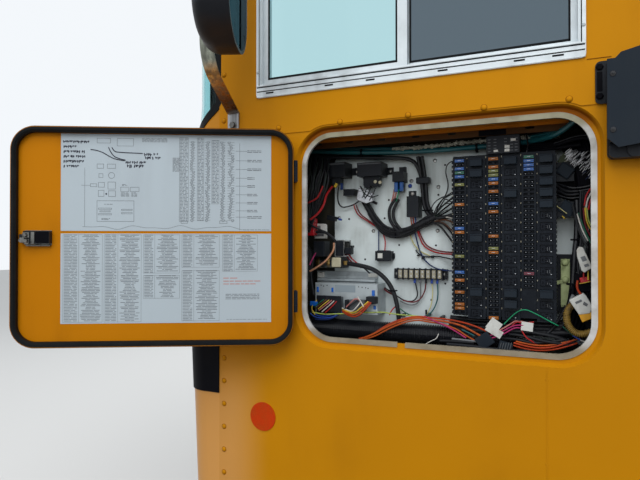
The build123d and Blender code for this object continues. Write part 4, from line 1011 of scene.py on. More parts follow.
board = {"x": (22.5, 229.0), "z": (539.0, 884.0), "face": 96.0, "fusePitch": 8.62, "fuseTopZ": 873.7,
         "relayPitch": 23.0, "relayTopZ": 867.0, "relayRows": 15, "streakedX": 211.8, "contactShare": 0.7,
         "lugX": (22.9, 53.4, 92.4, 124.6, 162.8, 194.4), "lugZ": (878, 545, -20.0)}
fuseColumns = (
    (37.6, 39, {"blue": (0, 2, 4, 17, 28), "green": (3,), "yellow": (6, 24),
                "tan": (11, 18, 30, 33, 36, 37)}),
    (108.2, 40, {"blue": (5, 11), "yellow": (3, 4, 22), "tan": (0, 2, 6, 8, 13, 19, 23, 39)}),
    (178.3, 32, {"blue": (1, 2, 3), "green": (0,), "red": (28,)}),
)
relayColumns = ((73.5, (0, 1, 7, 12)), (142.9, (0, 3, 12, 13)), (211.8, (0, 1, 2, 3, 4, 12)))


fuseFinish = {"blue": "blueFuse", "green": "greenFuse", "yellow": "oliveFuse", "tan": "tanFuse",
              "red": "roseFuse"}


def buildFuses():
    # a blade fuse's top: a body, two raised shoulders and a thin middle rib, with two bright test points
    byColour = {}
    tips = []
    glints = []
    face = board["face"]
    for x, _, colours in fuseColumns:
        for colour, rows in colours.items():
            for row in rows:
                z = board["fuseTopZ"] - row * board["fusePitch"]
                byColour.setdefault(colour, []).extend([
                    ((x - 9.8, face - 3.2, z - 3.2), (x + 9.8, face + 4, z + 2.7)),
                    ((x - 9.4, face - 4.6, z - 0.6), (x - 4.6, face - 3.0, z + 2.5)),
                    ((x + 4.6, face - 4.6, z - 0.6), (x + 9.4, face - 3.0, z + 2.5)),
                    ((x - 4.4, face - 4.2, z - 1.6), (x + 4.4, face - 3.0, z + 1.0)),
                ])
                tips.extend([((x + side * 7 - 1.0, face - 4.9, z + 0.6),
                              (x + side * 7 + 1.0, face - 4.5, z + 1.4)) for side in (-1, 1)])
                # painted highlight: a thin silvery strip across each fuse's middle
                glints.append(((x - 3.4, face - 4.4, z - 0.4), (x + 3.4, face - 4.1, z + 0.4)))
    for colour, boxes in byColour.items():
        piece = addBoxes("fuseTops_" + colour, boxes, fuseFinish[colour], colour + "_plastic", bevel=0.35)
        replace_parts(piece, "fuses_" + colour)
    addBoxes("fuseTips", tips, "wornSteel", "steel")
    addBoxes("fuseGlints", glints, "silvery", "steel")


def buildFuseSockets():
    # every row has a rib; most empty rows show two bright contacts; pale lugs stand beside the columns
    face = board["face"]
    contacts = []
    ribs = []
    for x, rowCount, colours in fuseColumns:
        filled = {row for rows in colours.values() for row in rows}
        for row in range(rowCount):
            z = board["fuseTopZ"] - row * board["fusePitch"]
            ribs.append(((x - 2.2, face - 0.2, z - 2.0), (x + 2.2, face + 5, z + 2.0)))
            if row not in filled and random.random() < board["contactShare"]:
                for spot in (x - 6.4, x + 6.4):
                    half = random.uniform(0.5, 1.3)
                    rise = random.uniform(-0.8, 0.8)
                    contacts.append(((spot - half, face + 2.5, z + rise - 0.4),
                                     (spot + half, face + 3.5, z + rise + 0.4)))
    lugs = []
    for x in board["lugX"]:
        for z in np.arange(*board["lugZ"]):
            tall = random.uniform(0.7, 2.0)
            lugs.append(((x - 0.55, face - 0.9, z - tall), (x + 0.55, face + 0.4, z + tall)))
    addBoxes("fuseRibs", ribs, "black_plastic", bevel=0.4)
    addBoxes("fuseContacts", contacts, "silvery", "steel")
    addBoxes("boardLugs", lugs, "dullCream", "white_plastic")


# an empty relay place's five slots: X and Z from its middle, half width and half height
relaySlots = ((-7, 0, 0.9, 2.6), (7, 0, 0.9, 2.6), (0, 4.2, 2.6, 0.9), (0, -0.6, 2.6, 0.9),
              (0, -4.6, 2.6, 0.9))


def buildRelaySockets():
    face = board["face"]
    floors = []
    slots = []
    specks = []
    streaks = []
    for x, filled in relayColumns:
        for row in range(board["relayRows"]):
            if row in filled:
                continue
            z = board["relayTopZ"] - row * board["relayPitch"]
            floors.append(((x - 11, face + 0.8, z - 6.8), (x + 11, face + 3, z + 6.8)))
            for sx, sz, w, h in relaySlots:
                slots.append(((x + sx - w, face + 0.4, z + sz - h), (x + sx + w, face + 1.0, z + sz + h)))
            specks.append(((x + 7.6, face - 0.2, z - 6.4), (x + 9.8, face + 1.0, z - 5.0)))
            if x == board["streakedX"]:
                for side, low, high in ((1.5, 0, 5), (6.0, -1, 5)):
                    rise = random.uniform(low, high)
                    streaks.append(((x + side - 0.4, face + 0.2, z - 3.6),
                                    (x + side + 0.4, face + 1.0, z - 1 + rise)))
    addBoxes("relayFloors", floors, "board_plastic", "black_plastic", bevel=0.5)
    addBoxes("relaySlots", slots, "deepBlack", "black_plastic")
    addBoxes("relaySpecks", specks, "silvery", "steel")
    addBoxes("relayStreaks", streaks, "wire_grey", "steel")


def buildRelays():
    cases = []
    ridges = []
    for x, rows in relayColumns:
        for row in rows:
            z = board["relayTopZ"] - row * board["relayPitch"]
            cases.append(((x - 12.5, 80.4, z - 8.2), (x + 12.5, 98, z + 8.2)))
            ridges.append(((x - 11.4, 79.9, z + 5.2), (x + 11.4, 81, z + 6.4)))
    piece = addBoxes("relayCases", cases, "dark_paint", "black_plastic", bevel=1.1)
    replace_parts(piece, "board_relays")
    addBoxes("relayRidges", ridges, "board_plastic", "black_plastic", bevel=0.3)


def buildBoardEdges():
    # moulded teeth down both long edges, and the top connector's pins
    low, high = board["z"]
    teeth = []
    for z in np.arange(low + 6, high - 6, 9.6):
        teeth.append(((board["x"][0] - 2.6, 99, z - 2.9), (board["x"][0] + 1, 136, z + 2.9)))
        teeth.append(((board["x"][1] - 1, 99, z - 2.9), (board["x"][1] + 2.2, 128, z + 2.9)))
    addBoxes("boardTeeth", teeth, "black_plastic", bevel=0.5)
    pins = [((x, 84.8, z), (x + 5.5, 86.4, z + 1.8)) for x in (98, 110, 131, 143, 152)
            for z in np.arange(887, 917, 6.2)]
    addBoxes("topPlugPins", pins, "grey_plastic")
    caps = [((144, 83.6, 907), (154, 86.4, 912)), ((132, 83.6, 893), (142, 86.4, 899)),
            ((132, 83.6, 885.5), (142, 86.4, 891.5)), ((110, 83.6, 886), (119, 86.4, 890.5))]
    addBoxes("topPlugCaps", caps, "white_plastic", bevel=0.5)


buildFuses()
buildFuseSockets()
buildRelaySockets()
buildRelays()
buildBoardEdges()
print("board done")

# Hoses, looms, conduit and cables

routes = {
    "air": ((-350, 150, 930), (-260, 150, 921), (-150, 150, 913), (-40, 150, 909), (90, 152, 911),
            (190, 138, 912), (240, 92, 916), (269, 79, 941)),
    "conduit": ((-352, 130, 487.3), (-230, 131, 487.3), (-120, 128, 487.3), (10, 130, 487.3),
                (150, 134, 487.3)),
    "battery": ((-254.5, 160, 646), (-205, 158, 640), (-171, 158, 628), (-141, 158, 602), (-124, 158, 566),
                (-117, 161, 520), (-116, 163, 480)),
    "main": ((-66, 160, 900), (-60, 162, 866), (-56, 166, 820), (-54, 166, 785), (-40, 164, 757),
             (-8, 156, 752), (22, 150, 762)),
    "cross": ((-209, 168, 800), (-196, 170, 777), (-178, 170, 747), (-154, 170, 722), (-120, 170, 716),
              (-85, 168, 726), (-62, 166, 742)),
    "side": ((269, 120, 783), (270, 122, 722), (264, 122, 667), (261, 124, 612), (254, 128, 562),
             (240, 134, 515)),
}


def shifted(route, x=0.0, depth=0.0, z=0.0):
    return [(p[0] + x, p[1] + depth, p[2] + z) for p in route]


# where the cross loom, the main loom and the board's own wires come together under wrapped tape
loomJunction = {"wrap": ((-86, 166, 732), (-70, 164, 739), (-55, 163, 746), (-40, 162, 752), (-27, 161, 758)),
                "ends": (((-50, 162, 757), (-36, 161, 761)), ((-48, 170, 738), (-34, 168, 744)),
                         ((-50, 158, 748), (-36, 158, 752)))}
tangles = (
    ("topLeftTangle", "black", 2.6, (((-214, 158, 836), (-206, 152, 822), (-196, 150, 812), (-180, 152, 806),
                                      (-168, 160, 812)),
                                     ((-184, 152, 832), (-188, 148, 818), (-198, 150, 806), (-206, 158, 796)),
                                     ((-170, 152, 834), (-176, 148, 816), (-188, 150, 800),
                                      (-196, 160, 786)))),
    ("topLeftTangleGrey", "murky", 2.2, (((-210, 154, 834), (-202, 148, 820), (-200, 150, 806),
                                          (-190, 158, 792)),
                                         ((-194, 152, 830), (-200, 147, 815), (-208, 152, 804),
                                          (-218, 160, 800)))),
    ("loomStrays", "black", 2.4, (((-146, 158, 716), (-128, 152, 710), (-108, 154, 714), (-90, 160, 724)),
                                  ((-160, 160, 742), (-148, 154, 728), (-130, 156, 722), (-112, 162, 726)),
                                  ((-110, 160, 722), (-96, 154, 728), (-80, 156, 738), (-66, 160, 744)))),
    ("fanCurls", "black", 2.6, (((-34, 160, 760), (-26, 150, 776), (-12, 140, 792), (2, 132, 800),
                                 (21, 122, 806)),
                                ((-34, 158, 757), (-22, 148, 772), (-10, 142, 780), (6, 136, 792),
                                 (21, 122, 795)),
                                ((-32, 160, 754), (-26, 150, 764), (-8, 140, 788), (-2, 136, 796),
                                 (10, 132, 790), (21, 124, 783)),
                                ((-36, 160, 757), (-40, 152, 772), (-28, 146, 790), (-10, 140, 800),
                                 (4, 134, 802), (20, 122, 811)))),
    ("fanCurlsGrey", "murky", 2.0, (((-36, 158, 754), (-20, 148, 768), (-4, 140, 784), (8, 134, 786),
                                     (21, 124, 780)),
                                    ((-34, 160, 752), (-16, 150, 762), (0, 140, 772), (21, 126, 770)))),
)


def buildMainLines():
    hose = addLines("airHose", [routes["air"]], 11.6, "teal_plastic", "teal_plastic")
    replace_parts(hose, "air_hoses")
    addLines("airHoseUpper", [shifted(routes["air"][:-1], depth=11, z=10)], 11, "teal_plastic",
             "teal_plastic")
    addLines("hoseBelow", [((-350, 152, 914), (-260, 152, 909), (-170, 154, 902), (-110, 156, 899),
                            (-82, 158, 892), (-68, 160, 872), (-62, 164, 846))], 9, "wire_black")
    conduit = addRibbedTube("ribbedConduit", routes["conduit"], 21.0, 2.0, 5.4, "glossBlack", "black_plastic",
                            sides=32, perRib=5)
    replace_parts(conduit, "conduit")
    battery = addLines("batteryCable", [routes["battery"]], 11, "wire_black", "rubber")
    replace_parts(battery, "battery_cable")
    side = addLines("sideCable", [routes["side"]], 12.4, "glossBlack", "rubber")
    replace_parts(side, "side_cable")
    main = addLines("mainLoomStrands", [shifted(routes["main"], x=-4.6),
                                        shifted(routes["main"], x=4.4, depth=1.5),
                                        shifted(routes["main"], depth=5)], 8.6, "wire_black")
    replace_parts(main, "main_loom")
    cross = routes["cross"]
    loom = addRibbedTube("crossLoomTube", cross, 6.4, 0.5, 2.6, "wire_black", "black_plastic", sides=18,
                         perRib=4)
    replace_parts(loom, "cross_loom")
    strands = [shifted(cross, x=3, z=10), shifted(cross[1:], x=-2, depth=4, z=-8),
               shifted(cross[2:], depth=-6, z=4)]
    joined = [strand + list(loomJunction["ends"][n]) for n, strand in enumerate(strands)]
    addLines("crossLoomStrands", joined, 6.6, "wire_black")
    addRibbedTube("loomJunctionWrap", loomJunction["wrap"], 7.4, 1.1, 5.0, "wire_black", "black_plastic",
                  sides=18, perRib=4)
    for name, colour, diameter, family in tangles:
        addLines(name, family, diameter, "wire_" + colour)
    feed = [((-172, 160, 792), (-190, 164, 800), (-203, 168, 806), (-214, 170, 812)),
            ((-196, 166, 822), (-204, 168, 806), (-206, 170, 790), (-192, 172, 768))]
    addLines("crossLoomTops", feed, 6.5, "wire_black")
    straps = [((-209.5, 142.8, 905), (-205, 158, 925)), ((64, 142.8, 898), (68.5, 160, 921)),
              ((-72, 158, 842), (-45, 172, 845)), ((-62, 158, 771), (-36, 172, 774)),
              ((-128, 161, 707), (-124, 178, 727)), ((-142, 151, 580), (-121, 165, 583)),
              ((256, 112, 700), (277, 128, 703.5)), ((248, 115, 609), (268, 132, 612.5))]
    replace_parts(addBoxes("tieStraps", straps, "deepBlack", "black_plastic", bevel=1.4), "line_clips")
    ties = [((-72, 153, 840.5), (-42, 171, 844.5))]
    addBoxes("loomTie", ties, "white_plastic", bevel=0.8)
    bands = [((-73.5, 152, 835), (-41.5, 173, 850))]
    addBoxes("loomClamp", bands, "black_plastic", bevel=2.5)


# bay wires: colour, diameter, then the route's points
bayWires = (
    ("red", 4.5, ((-333, 104, 794), (-314, 108, 801), (-304, 112, 812), (-297, 118, 836))),
    ("red", 5.5, ((-323, 100, 753), (-305, 106, 765), (-291, 114, 791), (-290, 122, 817), (-281, 140, 836))),
    ("black", 3.5, ((-268, 150, 836), (-279, 164, 807), (-271, 172, 785), (-251, 176, 788), (-232, 176, 794),
                    (-211, 170, 809))),
    ("red", 3, ((-236, 172, 792), (-233, 178, 769), (-206, 180, 753), (-178, 176, 735))),
    ("darkRed", 3, ((-231, 174, 792), (-225, 178, 769), (-199, 180, 753), (-176, 176, 733))),
    ("pink", 4, ((-128, 160, 824), (-131, 164, 809), (-136, 166, 796))),
    ("pink", 4, ((-122, 160, 824), (-126, 164, 809), (-132, 166, 796))),
    ("green", 3, ((-117, 162, 824), (-120, 166, 809), (-126, 168, 796))),
    ("black", 8, ((-126, 166, 804), (-141, 168, 786), (-145, 170, 766), (-139, 170, 742), (-121, 168, 725))),
    ("black", 8, ((-120, 170, 801), (-134, 174, 781), (-135, 174, 759), (-127, 172, 740), (-111, 168, 725))),
    ("orange", 3, ((-90, 166, 760), (-90, 172, 751), (-88, 170, 739))),
    ("red", 3, ((-84, 166, 760), (-85, 172, 751), (-82, 170, 739))),
    ("blue", 3, ((-78, 166, 760), (-79, 172, 751), (-78, 170, 739))),
    ("black", 2.6, ((23, 104, 876), (4, 130, 876), (-8, 170, 859), (-2, 178, 835), (-6, 178, 812),
                    (-18, 176, 795), (-29, 174, 776), (-32, 168, 757))),
    ("black", 4, ((-36, 168, 754), (-22, 166, 775), (-7, 160, 786), (21, 120, 799))),
    ("black", 4, ((-36, 168, 752), (-19, 164, 768), (-2, 158, 779), (21, 122, 789))),
    ("black", 4, ((-36, 168, 750), (-17, 164, 761), (1, 156, 769), (20, 124, 776))),
    ("white", 3.5, ((-34, 166, 747), (-16, 160, 755), (2, 150, 755), (20, 126, 749))),
    ("brown", 3.5, ((-34, 166, 745), (-16, 160, 750), (2, 150, 748), (20, 128, 740))),
    ("black", 4.5, ((-36, 166, 745), (-20, 166, 745), (-2, 160, 733), (20, 140, 707))),
    ("black", 4.5, ((-36, 168, 743), (-22, 168, 738), (-7, 162, 721), (20, 142, 689))),
    ("brown", 3, ((-36, 167, 747), (-17, 165, 746), (0, 158, 735), (20, 140, 716))),
    ("red", 3.6, ((-74, 172, 724), (-67, 178, 693), (-45, 180, 677), (-17, 172, 670), (21, 138, 670))),
    ("darkRed", 3.6, ((-71, 174, 724), (-62, 180, 695), (-41, 182, 681), (-12, 174, 674), (21, 138, 674))),
    ("cream", 3, ((-95, 172, 725), (-91, 180, 703), (-82, 182, 687), (-65, 183, 671), (-47, 184, 666))),
    ("navy", 3.2, ((-81, 172, 724), (-77, 180, 695), (-68, 183, 666), (-50, 182, 644), (-19, 170, 631),
                   (21, 138, 632))),
    ("black", 3, ((-82, 184, 679), (-72, 184, 665), (-52, 184, 662), (-33, 183, 665), (-13, 176, 662),
                  (21, 138, 657))),
    ("navy", 3, ((-171, 172, 740), (-173, 178, 713), (-173, 178, 694), (-171, 172, 674))),
    ("red", 3, ((-164, 174, 733), (-160, 178, 713), (-155, 178, 698), (-156, 172, 674))),
    ("black", 3.2, ((-82, 174, 610), (-79, 176, 591), (-74, 176, 572), (-84, 176, 556), (-106, 176, 555),
                    (-129, 176, 569), (-153, 178, 583), (-172, 180, 595))),
    ("grey", 3, ((-69, 174, 610), (-68, 176, 586), (-68, 176, 564), (-78, 176, 549), (-98, 176, 546),
                 (-119, 176, 556))),
    ("darkRed", 3, ((-56, 174, 610), (-55, 176, 592), (-61, 176, 574), (-71, 176, 559), (-90, 174, 552),
                    (-111, 174, 558))),
    ("cream", 2.6, ((-43, 174, 611), (-39, 176, 590), (-40, 178, 568), (-44, 174, 541), (-48, 150, 529))),
    ("teal", 3, ((-29, 174, 611), (-27, 176, 590), (-27, 176, 566), (-34, 174, 544), (-41, 160, 531),
                 (-48, 140, 526))),
    ("orange", 4.5, ((-190, 98, 471), (-164, 96, 482), (-128, 98, 503), (-94, 104, 518), (-60, 112, 527),
                     (-37, 114, 522), (-2, 112, 522), (36, 104, 517), (63, 98, 506), (84, 96, 495))),
    ("orange", 3.6, ((-186, 98, 470), (-160, 95, 477), (-124, 96, 499), (-91, 102, 514), (-60, 110, 522),
                     (-36, 112, 518), (-2, 110, 516), (32, 104, 506), (50, 100, 494), (71, 98, 485))),
    ("redOrange", 4.0, ((-196, 100, 471), (-169, 99, 478), (-131, 102, 506), (-95, 108, 522), (-61, 116, 529),
                        (-32, 116, 527), (-2, 114, 527), (40, 106, 523), (75, 100, 515), (100, 98, 504))),
    ("magenta", 3.5, ((-46, 118, 530), (-22, 110, 521), (6, 104, 513), (33, 100, 500), (50, 98, 490))),
    ("limeGreen", 3, ((-183, 112, 531), (-148, 124, 534), (-127, 134, 529), (-87, 134, 527),
                      (-51, 124, 528))),
    ("darkGreen", 3, ((-112, 152, 540), (-94, 148, 528), (-65, 130, 526), (-48, 124, 527))),
    ("red", 3, ((-130, 128, 527), (-133, 150, 537), (-127, 170, 543))),
    ("magenta", 3.6, ((-303, 126, 690), (-319, 116, 670), (-327, 106, 642))),
    ("peach", 5, ((-275, 136, 696), (-272, 132, 681), (-280, 126, 666), (-294, 116, 645), (-327, 106, 626))),
    ("red", 3.2, ((-260, 150, 688), (-247, 160, 670), (-234, 166, 650), (-211, 170, 637))),
    ("darkRed", 3.2, ((-265, 150, 685), (-252, 160, 665), (-239, 166, 646), (-217, 172, 634))),
    ("black", 7, ((-317, 122, 723), (-299, 124, 726), (-278, 132, 711), (-271, 140, 698))),
    ("black", 5, ((-332, 112, 743), (-310, 118, 730), (-288, 130, 721), (-276, 140, 706))),
    ("black", 6, ((-330, 118, 622), (-328, 118, 597), (-321, 118, 567))),
    ("black", 4, ((-215, 168, 640), (-205, 174, 630), (-196, 178, 620))),
    ("darkRed", 4, ((-170, 176, 595), (-156, 174, 581), (-142, 172, 573), (-127, 172, 568))),
)
moduleWires = (
    ("blue", 3, ((-241, 104, 531), (-257, 100, 520), (-282, 98, 514), (-312, 98, 515), (-322, 98, 525))),
    ("blue", 3, ((-244, 106, 535), (-261, 102, 524), (-286, 100, 518), (-309, 99, 520), (-318, 98, 533))),
    ("navy", 3, ((-246, 103, 526), (-262, 98, 515), (-284, 96, 510), (-308, 97, 511))),
    ("limeGreen", 3, ((-177, 108, 533), (-214, 102, 529), (-257, 99, 526), (-290, 98, 523), (-317, 98, 528))),
    ("yellow", 3, ((-300, 102, 562), (-314, 97, 548), (-319, 97, 533), (-309, 98, 522))),
    ("white", 2.8, ((-258, 101, 559), (-270, 93, 545), (-289, 95, 530))),
    ("pink", 2.8, ((-264, 101, 560), (-277, 92, 547), (-297, 96, 533))),
    ("yellow", 2.8, ((-271, 101, 560), (-282, 92, 550), (-300, 97, 536))),
    ("red", 2.8, ((-252, 101, 558), (-262, 93, 543), (-281, 95, 528))),
    ("brown", 2.8, ((-278, 101, 561), (-289, 93, 551), (-306, 97, 538))),
    ("darkGreen", 2.8, ((-284, 101, 561), (-295, 94, 553), (-310, 98, 540))),
    ("redOrange", 4, ((-167, 102, 557), (-178, 92, 540), (-200, 90, 521), (-224, 94, 526), (-236, 98, 533))),
    ("orange", 4, ((-171, 102, 558), (-183, 91, 542), (-202, 89, 526), (-224, 93, 531), (-237, 98, 536))),
    ("yellow", 3, ((-174, 102, 559), (-187, 91, 546), (-203, 89, 532), (-224, 93, 534), (-238, 98, 539))),
    ("white", 3, ((-192, 102, 559), (-197, 93, 548), (-210, 90, 534), (-224, 94, 538), (-238, 98, 541))),
    ("black", 3.4, ((-198, 102, 562), (-209, 94, 554), (-224, 94, 541), (-238, 98, 538))),
    ("pink", 3, ((-195, 103, 559), (-202, 98, 567), (-212, 95, 559), (-227, 96, 544))),
    ("white", 3, ((-200, 101, 569), (-189, 94, 558), (-182, 92, 547))),
)
rightWires = (
    ("green", 2.6, ((129, 94, 525), (149, 91, 549), (169, 89, 560), (190, 91, 551), (221, 94, 534),
                    (233, 100, 527))),
    ("magenta", 3, ((99, 92, 499), (123, 90, 507), (145, 92, 523), (166, 92, 526), (186, 96, 524))),
    ("magenta", 3, ((101, 93, 493), (127, 90, 503), (147, 92, 518), (160, 94, 520), (182, 98, 516))),
    ("pink", 3, ((103, 93, 502), (121, 90, 512), (143, 92, 527), (154, 98, 535), (172, 99, 530))),
    ("red", 3, ((145, 94, 522), (152, 98, 533), (166, 98, 527), (187, 102, 532))),
    ("red", 3, ((162, 96, 517), (170, 94, 501), (182, 94, 494), (193, 98, 486))),
    ("redOrange", 4, ((148, 96, 487), (174, 93, 481), (205, 93, 480), (236, 96, 487), (258, 102, 498))),
    ("redOrange", 3.6, ((144, 98, 482), (172, 95, 475), (205, 95, 475), (240, 98, 482), (268, 104, 494))),
    ("orange", 3.6, ((152, 98, 490), (180, 96, 485), (208, 96, 485), (236, 98, 491), (273, 106, 503))),
    ("black", 8, ((132, 104, 510), (160, 100, 512), (199, 100, 509), (233, 102, 503), (264, 106, 492))),
    ("black", 7, ((138, 102, 504), (168, 98, 503), (201, 96, 495), (229, 98, 492), (258, 104, 488))),
    ("black", 6, ((120, 104, 494), (150, 100, 495), (184, 97, 489), (216, 99, 493), (244, 102, 499))),
    ("black", 9, ((11, 92, 475), (43, 90, 475), (75, 89, 474), (109, 90, 471), (141, 93, 470),
                  (180, 96, 471))),
    ("black", 6, ((-5, 92, 481), (35, 90, 483), (68, 90, 482))),
    ("grey", 5, ((21, 94, 487), (51, 91, 486), (76, 91, 485))),
    ("teal", 3, ((41, 100, 507), (57, 96, 502), (68, 95, 496))),
    ("white", 2, ((-37, 88, 471), (-24, 88, 480), (-10, 89, 486), (-8, 92, 496))),
    ("blue", 4, ((260, 96, 510), (268, 94, 506), (273, 94, 502))),
    ("white", 2.6, ((271, 94, 503), (280, 93, 500), (289, 95, 495))),
    ("darkGreen", 3, ((242, 104, 525), (253, 98, 516), (262, 96, 509))),
    ("black", 5, ((229, 140, 820), (239, 126, 805), (256, 120, 800), (271, 116, 801))),
    ("black", 5, ((229, 142, 813), (241, 126, 797), (258, 120, 793), (272, 116, 795))),
    ("yellow", 2.4, ((231, 140, 760), (241, 130, 752), (246, 128, 745))),
    ("red", 3.4, ((296, 100, 806), (288, 96, 796), (283, 94, 783), (282, 94, 769))),
    ("white", 3.4, ((297, 100, 800), (292, 96, 790), (286, 94, 778), (285, 94, 765))),
    ("red", 3.4, ((300, 100, 796), (295, 97, 784), (291, 95, 774), (289, 94, 761))),
    ("yellow", 3, ((283, 94, 765), (284, 93, 747), (288, 95, 729), (297, 98, 717))),
    ("limeGreen", 3, ((286, 95, 765), (287, 94, 747), (292, 96, 731), (299, 98, 723))),
    ("darkRed", 3, ((280, 95, 765), (281, 94, 745), (284, 95, 725), (293, 98, 709))),
    ("grey", 4, ((265, 112, 754), (269, 104, 734), (276, 98, 713), (284, 96, 695))),
    ("white", 3, ((269, 112, 754), (274, 104, 733), (280, 98, 715), (288, 96, 699))),
    ("black", 5, ((261, 116, 773), (265, 108, 750), (271, 100, 723), (279, 96, 701), (288, 95, 685))),
    ("darkGreen", 3, ((272, 110, 756), (278, 102, 733), (285, 97, 713), (293, 97, 695))),
    ("redOrange", 4.5, ((269, 94, 620), (267, 92, 610), (270, 92, 599), (275, 93, 593))),
    ("red", 3, ((281, 96, 642), (279, 95, 632), (280, 94, 624))),
    ("yellow", 3, ((288, 96, 642), (288, 95, 630), (288, 94, 622))),
    ("grey", 7, ((261, 110, 590), (253, 106, 570), (250, 104, 550))),
    ("black", 7, ((248, 126, 566), (234, 122, 536), (219, 112, 514), (204, 106, 502))),
)


def buildWires(prefix, table):
    # wires of one colour and size are one piece
    families = {}
    for colour, diameter, route in table:
        families.setdefault((colour, diameter), []).append(route)
    for (colour, diameter), family in families.items():
        addLines("%s_%s_%d" % (prefix, colour, round(10 * diameter)), family, diameter, "wire_" + colour)


fan = {"bundles": 9, "strokes": 140, "bundleSize": 13.0, "strokeSize": 1.0}


def buildFan():
    # dark bundles sweeping from under the hoses down behind the lip, side by side; these and the top and back
    # looms are near-black, so besides the wires they carry painted shade filling the corner
    bundles = []
    for n in range(fan["bundles"]):
        share = n / (fan["bundles"] - 1)
        bundles.append(((232 + 50 * share, 150 - 8 * share, 908 + 8 * share),
                        (252 + 40 * share, 142 - 6 * share, 888),
                        (268 + 34 * share, 138 - 4 * share, 858 - 4 * share), (274 + 34 * share, 138, 826),
                        (276 + 36 * share, 138, 780), (272 + 34 * share, 140, 724)))
    addLines("cornerLooms", bundles, fan["bundleSize"], "deepBlack")
    top = [((226 + 7 * n, 120 + 3 * n, 897 + 3 * n), (246 + 6 * n, 112 + 2 * n, 902 + 2 * n),
            (270 + 5 * n, 108 + 2 * n, 908 + n), (296 + 3 * n, 106 + 2 * n, 906),
            (312, 108 + 3 * n, 890 - 4 * n)) for n in range(6)]
    addLines("cornerTopLooms", top, 9, "deepBlack")
    hidden = [((140, 146 - 3 * n, 906 - 5 * n), (190, 140 - 3 * n, 905 - 5 * n),
               (240, 132 - 3 * n, 902 - 3 * n), (276, 124 - 2 * n, 896)) for n in range(4)]
    addLines("cornerBackLooms", hidden, 9, "deepBlack")
    addLines("cornerHangingWire", [((172, 118, 926), (175, 110, 912), (177, 106, 896), (173, 104, 884))], 3.6,
             "glossBlack")
    addLines("cornerThinWires", [shifted(route, depth=-8, z=3) for route in top[::2]], 2.4, "wire_black")


def buildCornerStrokes():
    # painted highlights: short pale strokes lying across the dark bundles and leaning up to the right,
    # standing for glints on many thin black wires
    draw = np.random.default_rng(11)
    count = fan["strokes"]
    across = draw.uniform(0, 1, count)
    down = draw.uniform(0, 1, count)
    x = 250 + 48 * across
    z = 885 - 10 * across - down * (14 + 46 * across)
    lean = np.radians(draw.uniform(32, 62, count))
    length = draw.uniform(5, 13, count)
    bow = draw.uniform(-1.6, 1.6, count)
    depth = 113 - 3 * across + draw.uniform(-2, 1, count)
    families = {"white": [], "silver": [], "grey": [], "navy": []}
    for n in range(count):
        kind = "navy" if z[n] < 838 and n % 3 == 0 else ("white", "silver", "white", "white", "grey")[n % 5]
        dx, dz = length[n] * cos(lean[n]) / 2, length[n] * sin(lean[n]) / 2
        families[kind].append(((x[n] - dx, depth[n] + 3, z[n] - dz),
                               (x[n] + bow[n], depth[n] - 1, z[n] + bow[n]),
                               (x[n] + dx, depth[n] + 3, z[n] + dz)))
    finishOf = {"white": "paleWire", "silver": "silvery", "grey": "wire_grey", "navy": "wire_navy"}
    for kind, family in families.items():
        addLines("cornerStrokes_" + kind, family, fan["strokeSize"], finishOf[kind])
    addCutouts("olivePad", [((229, 850), (233, 868), (238, 878), (247, 886), (256, 880), (262, 872),
                             (250, 858))], [(144, 150)], "olive", "black_plastic", bevel=1.0)
    addLines("olivePadEdge", [((229, 143, 850), (238, 142, 860), (250, 141, 868))], 1.6, "foam")


def buildLeftTangle():
    # dark wires wandering down behind the left lip, a few of them greenish
    draw = np.random.default_rng(5)
    families = {"black": [], "murky": []}
    for n in range(13):
        start = -350 + 5.2 * n
        sway = draw.uniform(-9, 9, 4)
        route = [(start, 150 - n, 924 - 1.5 * n), (start + 6 + sway[0], 136 - n, 890),
                 (start + 2 + sway[1], 128 - n, 850), (start - 6 + sway[2], 122, 806),
                 (min(start, -318) - 4 + sway[3] / 3, 118, 762), (-346 + n, 120, 722)]
        families[("black", "black", "murky")[n % 3]].append(route)
    for colour, family in families.items():
        addLines("leftLooms_" + colour, family, 5.5 if colour == "black" else 3.6, "wire_" + colour)
    low = [((-349, 128 + 5 * n, 700 - 6 * n), (-338 + 4 * n, 126 + 4 * n, 672), (-345 + 5 * n, 122, 640),
            (-338, 118 + 4 * n, 600)) for n in range(4)]
    addLines("lowLeftLooms", low, 7, "wire_black")


def buildRightTangle():
    # dark and coloured wires between the side cable and the lip
    draw = np.random.default_rng(23)
    families = {"black": [], "murky": [], "grey": [], "white": [], "darkRed": []}
    order = ("black", "grey", "black", "murky", "black", "white", "black", "darkRed")
    for n in range(16):
        start = 276 + 2.2 * n
        sway = draw.uniform(-5, 5, 5)
        route = [(start, 112 + n, 800), (start - 4 + sway[0], 108 + n, 765), (start + sway[1], 106 + n, 730),
                 (start + 3 + sway[2], 104 + n, 690), (start - 4 + sway[3], 106 + n, 650),
                 (start - 2 + sway[4], 110 + n, 612), (start - 12, 114 + n, 570)]
        families[order[n % len(order)]].append(route)
    for colour, family in families.items():
        addLines("rightLooms_" + colour, family, 5.5 if colour == "black" else 2.6, "wire_" + colour)
    low = [((262 + 6 * n, 124 + 4 * n, 620), (260 + 7 * n, 120 + 4 * n, 585), (254 + 8 * n, 118 + 4 * n, 545),
            (244 + 8 * n, 118 + 4 * n, 515), (226 + 9 * n, 116 + 4 * n, 497)) for n in range(7)]
    addLines("lowRightLooms", low, 10, "deepBlack")


buildMainLines()
buildWires("bayWires", bayWires)
buildWires("moduleWires", moduleWires)
buildWires("rightWires", rightWires)
buildFan()
buildCornerStrokes()
buildLeftTangle()
buildRightTangle()
print("lines done")

# Units on the back plate

